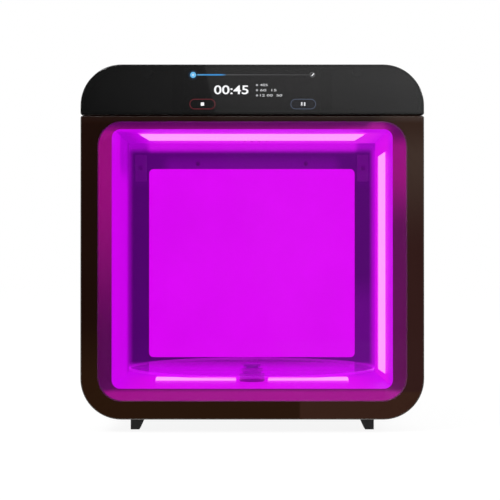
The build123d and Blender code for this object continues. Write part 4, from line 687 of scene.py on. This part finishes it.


# Mouth of the chamber: a white moulded funnel behind the door's window, with a silicone seal in
# a groove round it. The chamber's light on the moulding is painted as a violet glow over a dark
# violet base: strongest at the head and along the foot, weaker down the sides, with a painted
# highlight at its upper right corner.
bezel = finish("white_moulding_painted_light", (0.05, 0.005, 0.04), (0.06, 0.006, 0.05), (0.25, 0.4),
               cloud_scale=8.0)
lit(bezel, (0.070, 0.0025, 0.056),
    ((0.36, 0.0050, 0.21), region(high=0.085), 0.0, 0.215),
    ((0.085, 0.0025, 0.050), region(left=0.16, high=0.225), 0.08, 0.0),
    ((0.40, 0.0060, 0.28), region(low=0.0475), 0.0, 0.006),
    ((0.22, 0.0050, 0.135), region(high=0.344), 0.0, 0.003),
    ((0.38, 0.0055, 0.25), region(left=0.12, low=0.335), 0.04, 0.0),
    ((0.075, 0.0020, 0.050), region(left=0.172, low=0.349), 0.024, 0.004),
    ((0.06, 0.0020, 0.035), region(high=0.347), 0.0, 0.006),
    # A painted highlight at the moulding's upper right corner.
    ((0.40, 0.0055, 0.26), region(left=0.141, right=0.149, low=0.3445, high=0.3465), 0.013, 0.001))
dress(bezel, "mouth_bezel")
silicone = finish("silicone", (0.10, 0.095, 0.10), (0.15, 0.145, 0.15), (0.5, 0.65),
                  grain_scale=1400.0, cloud_scale=60.0, dusty=0.15)
dress(silicone, "door_seal")


# Chamber: four flat sheets, a pressed tray for the back and two corner plates, all coated smooth
# white. Under the violet lights the coat shows only their colour; that light is painted on as a
# violet glow over a dark violet base, with painted light near each bar and painted shade in the
# corners and where the tray turns away behind the rear light.
# Colours of the painted light in the chamber: full violet light, painted shade where the tray turns
# away, painted shade in the corners, and painted light at the sides.
violet, painted_shade_violet = (0.73, 0.0008, 1.06), (0.070, 0.0006, 0.140)
painted_corner_shade, painted_side_light = (0.46, 0.0010, 0.74), (0.52, 0.0010, 0.80)


def chamber_coat_with_painted_light(part, colour, *layers):
    """The smooth coat of one part, with the chamber's light painted on it as a glow over a dark
    violet base.
    """
    coat = finish(f"chamber_coat_with_painted_light_{part}", (0.045, 0.0010, 0.065), (0.055, 0.0013, 0.075),
                  (0.45, 0.6), grain_scale=1200.0, relief=0.00003, cloud_scale=10.0)
    shader(coat).inputs["Specular IOR Level"].default_value = 0.15
    return lit(coat, colour, *layers)


dress(chamber_coat_with_painted_light("left", violet,
                   ((0.52, 0.0008, 0.82), region(front=0.030, low=0.330), 0.035, 0.005),
                   (painted_shade_violet, region(back=0.090), 0.0, 0.090)), "liner_left")
dress(chamber_coat_with_painted_light("right", violet,
                   ((0.89, 0.0050, 1.05), region(left=0.1, front=-0.030, back=0.136, low=0.048,
                                                 high=0.336), 0.04, 0.0)), "liner_right")
dress(chamber_coat_with_painted_light("top", violet,
                   ((0.92, 0.020, 1.11), region(left=-0.120, right=0.148, front=-0.010, back=0.136,
                                                low=0.2), 0.03, 0.0),
                   (painted_corner_shade, region(left=-0.140), 0.0, 0.024),
                   (violet, region(front=-0.02), 0.0, 0.04)), "liner_ceiling")
dress(chamber_coat_with_painted_light("floor", violet,
                   ((0.86, 0.0020, 1.08), region(left=-0.125, right=0.125, front=-0.110, back=0.040,
                                                 low=0.0, high=0.1), 0.05, 0.0)), "liner_floor")
dress(chamber_coat_with_painted_light("back", painted_shade_violet,
                   ((0.085, 0.0009, 0.170), region(low=0.305), 0.012, 0.0),
                   ((0.170, 0.0012, 0.300), region(left=-0.11, right=0.11, low=0.322, high=0.326),
                    0.019, 0.0),
                   ((0.13, 0.0010, 0.24), region(left=0.12, high=0.13), 0.05, 0.0),
                   (painted_side_light, region(left=-0.1635), 0.0, 0.011),
                   (violet, region(right=0.1615), 0.0, 0.0105),
                   (painted_corner_shade, region(high=0.3423), 0.0, 0.0111),
                   ((0.79, 0.0060, 1.07), region(left=-0.138, right=0.140, low=0.3534), 0.0111, 0.0),
                   (violet, region(low=0.056), 0.0, 0.012)), "liner_back")
# The corner plates' violet colour and glow are painted light, a little paler than the painted shade
# of the tray round them.
plate_painted_light = finish("plate_painted_light", (0.10, 0.002, 0.14), (0.12, 0.003, 0.16), (0.3, 0.45),
                    grain_scale=900.0, cloud_scale=60.0)
dress(lit(plate_painted_light, (0.070, 0.0008, 0.128)), "corner_plates")
# The chamber screws are shaded violet zinc with a faint painted violet glow.
shaded_zinc = lit(finish("shaded_zinc", (0.10, 0.01, 0.12), (0.14, 0.02, 0.17), (0.3, 0.45),
                         metallic=1.0, cloud_scale=150.0), (0.060, 0.0008, 0.115))
plate_screw, back_screw = (0.154, 0.1485, 0.3233), (0.075, 0.150, 0.3298)
chamber_seats = [seat for x, y, z in (plate_screw, back_screw)
                 for seat in seats_at(x, (y,), (z,), forward)]
add_screws("crossed_chamber_screws", "cabinet", shaded_zinc, chamber_seats, "chamber_screws")


# Rear light: an opal diffuser through the chamber back and a white frame round it. The diffuser
# glows evenly, as its LEDs stand well behind it.
opal = lit(finish("opal_panel", (0.16, 0.004, 0.20), (0.18, 0.006, 0.22), (0.25, 0.4),
                  grain_scale=2000.0, relief=0.00001, cloud_scale=14.0), (0.84, 0.0012, 1.09))
shader(opal).inputs["Specular IOR Level"].default_value = 0.15
dress(opal, "rear_light_diffuser")
dress(finish("white_frame", (0.72, 0.72, 0.71), (0.80, 0.80, 0.79), (0.3, 0.45)),
      "rear_light_frame")


# LED boards: white solder mask over copper tracks that run between the LEDs, with bare pads
# plated pale gold. One board lies behind the rear light's diffuser and one behind each bar.
def track_effect():
    """Tracks and pads of a circuit board, as masks over its mask colour."""
    group, given, result = effect(
        "tracks", {"Place": "Vector", "Pitch": "Float"}, {"Track": "Float", "Pad": "Float"})
    sizes = {label: maths(group, "MULTIPLY", given["Pitch"], share)
             for label, share in (("Brick Width", 7.0), ("Row Height", 1.0), ("Mortar Size", 0.17))}
    lanes = add_node(group, "ShaderNodeTexBrick",
                     {"Vector": given["Place"], "Scale": 1.0, "Mortar Smooth": 0.2, **sizes},
                     offset=0.37)
    dots = add_node(group, "ShaderNodeTexVoronoi", {"Vector": given["Place"], "Scale": 240.0})
    group.links.new(lanes.outputs["Fac"], result["Track"])
    group.links.new(ranged(group, dots.outputs["Distance"], 0.24, 0.20), result["Pad"])
    return group


tracks = track_effect()


def circuit(name, mask_dark, mask_light, track, pad, turned=(0.0, 0.0, 0.0), pitch=0.0024):
    """A circuit board: solder mask, tracks that show through it, and bare pads."""
    material = finish(name, mask_dark, mask_light, (0.25, 0.35), cloud_scale=30.0)
    plan = mapped(material.node_tree, object_place(material.node_tree),
                  Rotation=tuple(math.radians(angle) for angle in turned))
    drawn = add_effect(material, tracks, plan, pitch=pitch)
    overlay(material, drawn["Track"], track)
    overlay(material, drawn["Pad"], pad)
    return material


led_mask = (0.66, 0.66, 0.65), (0.74, 0.74, 0.73), (0.58, 0.59, 0.57), (0.75, 0.62, 0.30)
dress(circuit("led_board_back", *led_mask, turned=(-90.0, 0.0, 0.0), pitch=0.006),
      "rear_light_board")
dress(circuit("led_board_flat", *led_mask), "top_light_board", "floor_light_boards")
dress(circuit("led_board_side", *led_mask, turned=(0.0, 90.0, 0.0)), "right_light_board")


# Heatsink, light carriers, heater and LED driver: extruded aluminium. The fine lines of the die
# run upright on the heatsink and from side to side on the rest.
aluminium = (0.58, 0.58, 0.60), (0.70, 0.70, 0.72), (0.22, 0.42)
extruded = finish("extruded_aluminium", *aluminium, grain_scale=700.0, metallic=1.0,
                  stretch=(1.0, 1.0, 0.04), cloud_scale=20.0)
dress(worn(extruded, (0.82, 0.82, 0.83), width=0.0004, amount=0.8), "rear_light_heatsink")
drawn_lengthways = finish("drawn_aluminium", *aluminium, grain_scale=700.0, metallic=1.0,
                          stretch=(0.04, 1.0, 1.0), cloud_scale=20.0)
dress(drawn_lengthways, "light_carriers", "heater_element", "led_driver")


# Light bars: moulded opal covers over the ceiling, the right wall and, in two pieces, the floor.
# Their faces glow almost white, and their feet keep the violet of the walls they stand on.
def bar_cover(name, glowing):
    """Opal cover that glows pink-white inside a box and pale violet outside it."""
    return lit(finish(name, (0.30, 0.05, 0.34), (0.34, 0.06, 0.38), (0.25, 0.4),
                      grain_scale=1800.0, relief=0.00001, cloud_scale=20.0),
               (1.70, 0.50, 1.75), ((0.90, 0.045, 1.05), glowing, 0.0001, 0.0006))


dress(bar_cover("opal_top_bar", region(back=-0.006, high=0.3548)), "top_light_diffuser")
dress(bar_cover("opal_side_bar", region(back=-0.010, right=0.1680)), "right_light_diffuser")
dress(bar_cover("opal_floor_bars", region(left=-0.1215, right=0.1215, back=-0.008, low=0.0438)),
      "floor_light_diffusers")


# Turntable: a round glass plate on a stepped moulded hub, which turns in a flanged bushing in
# the chamber floor and is driven by a flat geared motor below it. A violet glow is painted in the
# plate's rim, and the chamber's violet light is painted on the hub and the bushing as a glow over
# a violet base.
def painted_rim_light(material, low, high):
    """A mask of the rim of a round plate, from the corners of its box."""
    tree = material.node_tree
    axle = 0.5 * (Vector(low) + Vector(high))
    radius = 0.5 * (high[0] - low[0])
    centred = mapped(tree, object_place(tree), Location=-axle)
    level = vector_maths(tree, "MULTIPLY", centred, (1.0, 1.0, 0.0))
    return ranged(tree, vector_maths(tree, "LENGTH", level), radius - 0.0006, radius - 0.0003)


table_glass = clear("table_glass", (0.93, 0.95, 0.96), ior=1.0005, coat=0.4)
shader(table_glass).inputs["Emission Strength"].default_value = 1.0
shader(table_glass).inputs["Emission Color"].default_value = (0.0, 0.0, 0.0, 1.0)
overlay(table_glass, painted_rim_light(table_glass, *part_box("turntable_glass")), (0.24, 0.004, 0.30),
        "Emission Color")
glaze(table_glass, "turntable_glass")
# The hub and the bushing carry the chamber's light as a painted violet glow over a violet base.
hub_painted_light = lit(finish("hub_moulding", (0.14, 0.004, 0.18), (0.18, 0.006, 0.22), (0.35, 0.5),
                      cloud_scale=60.0), (0.22, 0.0006, 0.36))
dress(hub_painted_light, "turntable_hub", "turntable_cap")
bronze = lit(finish("turned_bronze", (0.12, 0.02, 0.08), (0.16, 0.03, 0.10), (0.25, 0.4),
                    grain_scale=1400.0, metallic=1.0, cloud_scale=90.0), (0.20, 0.0006, 0.34))
dress(bronze, "turntable_bushing")
motor_case = finish("motor_case", (0.028, 0.028, 0.030), (0.045, 0.045, 0.048), (0.3, 0.45),
                    grain_scale=1200.0, metallic=0.4, cloud_scale=50.0)
dress(worn(motor_case, (0.35, 0.35, 0.35)), "turntable_motor", "blower_motor")


# Chamber rails, electronics shelf, blower housing and power supply: galvanised sheet, with the
# pale and dark flakes that zinc sets in.
def spangle_effect():
    """Flakes of galvanised sheet, each of one tone."""
    group, given, result = effect("spangle", {"Place": "Vector", "Flake Scale": "Float"},
                                  {"Flake": "Float"})
    flakes = add_node(group, "ShaderNodeTexVoronoi",
                      {"Vector": given["Place"], "Scale": given["Flake Scale"]})
    tone = add_node(group, "ShaderNodeSeparateColor", {"Color": flakes.outputs["Color"]})
    group.links.new(tone.outputs["Red"], result["Flake"])
    return group


spangle = spangle_effect()
galvanised = finish("galvanised_sheet", (0.42, 0.43, 0.44), (0.55, 0.56, 0.57), (0.28, 0.45),
                    grain_scale=900.0, metallic=0.9, cloud_scale=25.0)
zinc_tree = galvanised.node_tree
flaked = add_effect(galvanised, spangle, object_place(zinc_tree), flake_scale=160.0)
overlay(galvanised, maths(zinc_tree, "MULTIPLY", flaked["Flake"], 0.45), (0.72, 0.73, 0.74))
dress(galvanised, "chamber_rails", "electronics_tray", "blower_housing", "power_supply")


# Control board: green solder mask over copper tracks, with its relays, capacitors, processor and
# edge connectors moulded in one tone with it here.
dress(circuit("control_board", (0.008, 0.055, 0.022), (0.012, 0.075, 0.030), (0.02, 0.13, 0.05),
              (0.65, 0.50, 0.20)), "control_board")


# Warm-air blower wheel and cooling fans: black glass-filled nylon mouldings, satin and slightly
# cloudy, dusty where they face up.
fan_moulding = finish("fan_moulding", (0.014, 0.014, 0.015), (0.026, 0.026, 0.027), (0.35, 0.5),
                      grain_scale=1700.0, relief=0.00003, cloud_scale=35.0, dusty=0.25)
dress(fan_moulding, "blower_wheel", "cooling_fan_frames", "cooling_fan_rotor_left",
      "cooling_fan_rotor_right")


# Mains inlet and power switch: black mouldings snapped in the rear panel. The rocker is marked
# with a white bar for on and a white ring for off, printed on its two faces.
dress(black_plastic, "mains_inlet", "switch_housing", "power_rocker")
print_white = finish("print_white", (0.62, 0.62, 0.60), (0.74, 0.74, 0.72), (0.35, 0.5),
                     grain_scale=2500.0, cloud_scale=200.0)
print_skin, mark_height, face_depth, face_slope = 0.00006, 0.0052, 0.0047, 0.1
mark_depth = face_depth + face_slope * mark_height
rocker_axle, rocker_tilt = Vector((-0.084, 0.2045, 0.052)), math.radians(9.0)
rocker_out = Vector((0.0, math.cos(rocker_tilt), math.sin(rocker_tilt)))
rocker_up = Vector((0.0, -math.sin(rocker_tilt), math.cos(rocker_tilt)))
for name, side, outlines in (("rocker_on_mark", 1, [pill(-0.45, 0.45, -2.0, 2.0, 0.1, 3)]),
                             ("rocker_off_mark", -1, [circle(0, 0, 2.1), circle(0, 0, 1.4)])):
    middle = rocker_axle + mark_height * side * rocker_up + mark_depth * rocker_out
    plane = on_plane(middle, (-1, 0, 0), rocker_up + side * face_slope * rocker_out)
    flat_piece(name, drawing(name, outlines, print_skin),
               plane @ Matrix.Translation((0, 0, print_skin / 2)), print_white, "rocker")


# Floor: a plain pale sheet of matt paper that keeps the object's shadow. It shows nearly white
# where it is looked at directly, in mirrors or through glass.
def looked_at(tree):
    """One for rays that show a thing to the eye, nothing for those that only carry its light."""
    path = add_node(tree, "ShaderNodeLightPath").outputs
    direct = maths(tree, "MAXIMUM", path["Is Camera Ray"], path["Is Glossy Ray"])
    return maths(tree, "MAXIMUM", direct, path["Is Transmission Ray"])


def shader_mix(tree, share, first, second):
    """Two shaders mixed, as the material's surface."""
    both = add_node(tree, "ShaderNodeMixShader", {"Fac": share, 1: first, 2: second})
    tree.links.new(both.outputs["Shader"], tree.nodes["Material Output"].inputs["Surface"])


floor_mesh = bpy.data.meshes.new("floor")
shape = bmesh.new()
bmesh.ops.create_circle(shape, cap_ends=True, segments=64, radius=9.0)
shape.to_mesh(floor_mesh)
shape.free()
floor = link_object("floor", floor_mesh)
paper, paper_tree, paper_surface = new_material("floor_paper")
feed(paper_tree, paper_surface, {"Base Color": (0.85, 0.85, 0.85, 1.0), "Roughness": 0.9,
                                 "Specular IOR Level": 0.0})
white_sheet = add_node(paper_tree, "ShaderNodeEmission", {"Strength": 1.12})
shader_mix(paper_tree, maths(paper_tree, "MULTIPLY", looked_at(paper_tree), 0.8),
           paper_surface.outputs["BSDF"], white_sheet.outputs["Emission"])
floor_mesh.materials.append(paper)


# Studio: white surroundings that light the object plainly and show white directly, in mirrors
# and through glass, and two soft lamps.
world = bpy.data.worlds.new("studio")
bpy.context.scene.world = world
world.use_nodes = True
world_tree = world.node_tree
feed(world_tree, world_tree.nodes["Background"], {
    "Color": (1.0, 1.0, 1.0, 1.0),
    "Strength": ranged(world_tree, looked_at(world_tree), low=0.6, high=1.0)})


def soft_lamp(name, place, size, power, aim=(0.0, 0.0, 0.2)):
    """A round lamp that points at the middle of the object."""
    lamp = bpy.data.lights.new(name, "AREA")
    lamp.shape = "DISK"
    lamp.size = size
    lamp.energy = power
    holder = link_object(name, lamp)
    holder.location = place
    holder.rotation_euler = (Vector(aim) - Vector(place)).to_track_quat("-Z", "Y").to_euler()


soft_lamp("key_lamp", (-1.7, -1.3, 2.6), 1.2, 34.0)
soft_lamp("fill_lamp", (2.4, 0.9, 1.9), 1.5, 20.0)


# Cards for the polished front to mirror: a dark wall behind the camera with a pale corner at its
# upper right, cut off along a slanted line, and a dark sheet on the floor before the door, which is
# painted shade: in mirrors it stands for the shaded floor there.
def card(name, edge, other_edge, brightness):
    """A flat card between two level edges, each (half its length, y, z), seen only in mirrors.
    brightness(tree, place) gives its light."""
    half, *level = edge
    other_half, *other_level = other_edge
    corners = [(-half, *level), (half, *level), (other_half, *other_level),
               (-other_half, *other_level)]
    mesh = bpy.data.meshes.new(name)
    mesh.from_pydata(corners, [], [(0, 1, 2, 3)])
    piece = link_object(name, mesh)
    piece.visible_camera = piece.visible_diffuse = piece.visible_shadow = False
    material, tree, surface = new_material(name)
    tree.nodes.remove(surface)
    strength = brightness(tree, object_place(tree))
    light = add_node(tree, "ShaderNodeEmission", {"Strength": strength})
    path = add_node(tree, "ShaderNodeLightPath")
    hidden = add_node(tree, "ShaderNodeBsdfTransparent")
    shader_mix(tree, path.outputs["Glossy Depth"], hidden.outputs["BSDF"],
               light.outputs["Emission"])
    mesh.materials.append(material)


def stepped(tree, source, *stops):
    """A brightness that follows the (value, brightness) stops of its source."""
    return ramp(tree, source, [(value, (grey_level,) * 3) for value, grey_level in stops])


def wall_light(tree, place):
    """Pale above, where the head mirrors it, most at the right; dark below."""
    slanted = mapped(tree, place, "TEXTURE", Location=(-0.113, 0.0, 0.665),
                     Rotation=(0.0, math.radians(-13.4), 0.0))
    side = stepped(tree, coordinate(tree, slanted, "X"), (-0.3, 0.16), (-0.08, 0.27),
                   (-0.002, 0.31), (0.002, 0.55), (0.05, 0.62), (0.25, 0.74), (0.4, 0.86),
                   (0.5, 1.0), (0.6, 1.12))
    height = stepped(tree, coordinate(tree, place, "Z"), (0.4, 0.025), (0.524, 0.03),
                     (0.534, 0.36), (0.55, 0.80), (0.63, 1.0), (0.7, 1.0))
    return maths(tree, "MULTIPLY", side, height)


def sheet_light(tree, place):
    """Nearly black, a little paler on the right."""
    return stepped(tree, coordinate(tree, place, "X"), (-0.3, 0.006), (0.061, 0.02),
                   (0.065, 0.03), (0.4, 0.035))


card("wall_card", (1.3, -2.0, 0.0), (1.3, -2.0, 1.4), wall_light)
# The dark floor sheet is painted shade: in mirrors it stands for the shaded floor before the door.
card("floor_shade_card", (0.50, -2.0, 0.001), (0.26, -0.3, 0.001), sheet_light)


# Camera: level with the middle of the door, 1.6 m in front of it and tilted up by a third of a
# degree. Its lens is about 100 mm on a 36 mm wide film.
camera_data = bpy.data.cameras.new("camera")
camera_data.sensor_width = 36.0
camera_data.lens = 101.6
camera = link_object("camera", camera_data)
camera.location = (-0.0026, -1.812, 0.1971)
camera.rotation_euler = (math.radians(90.365), 0.0, 0.0)
bpy.context.scene.camera = camera
bpy.context.scene.view_settings.view_transform = "Standard"
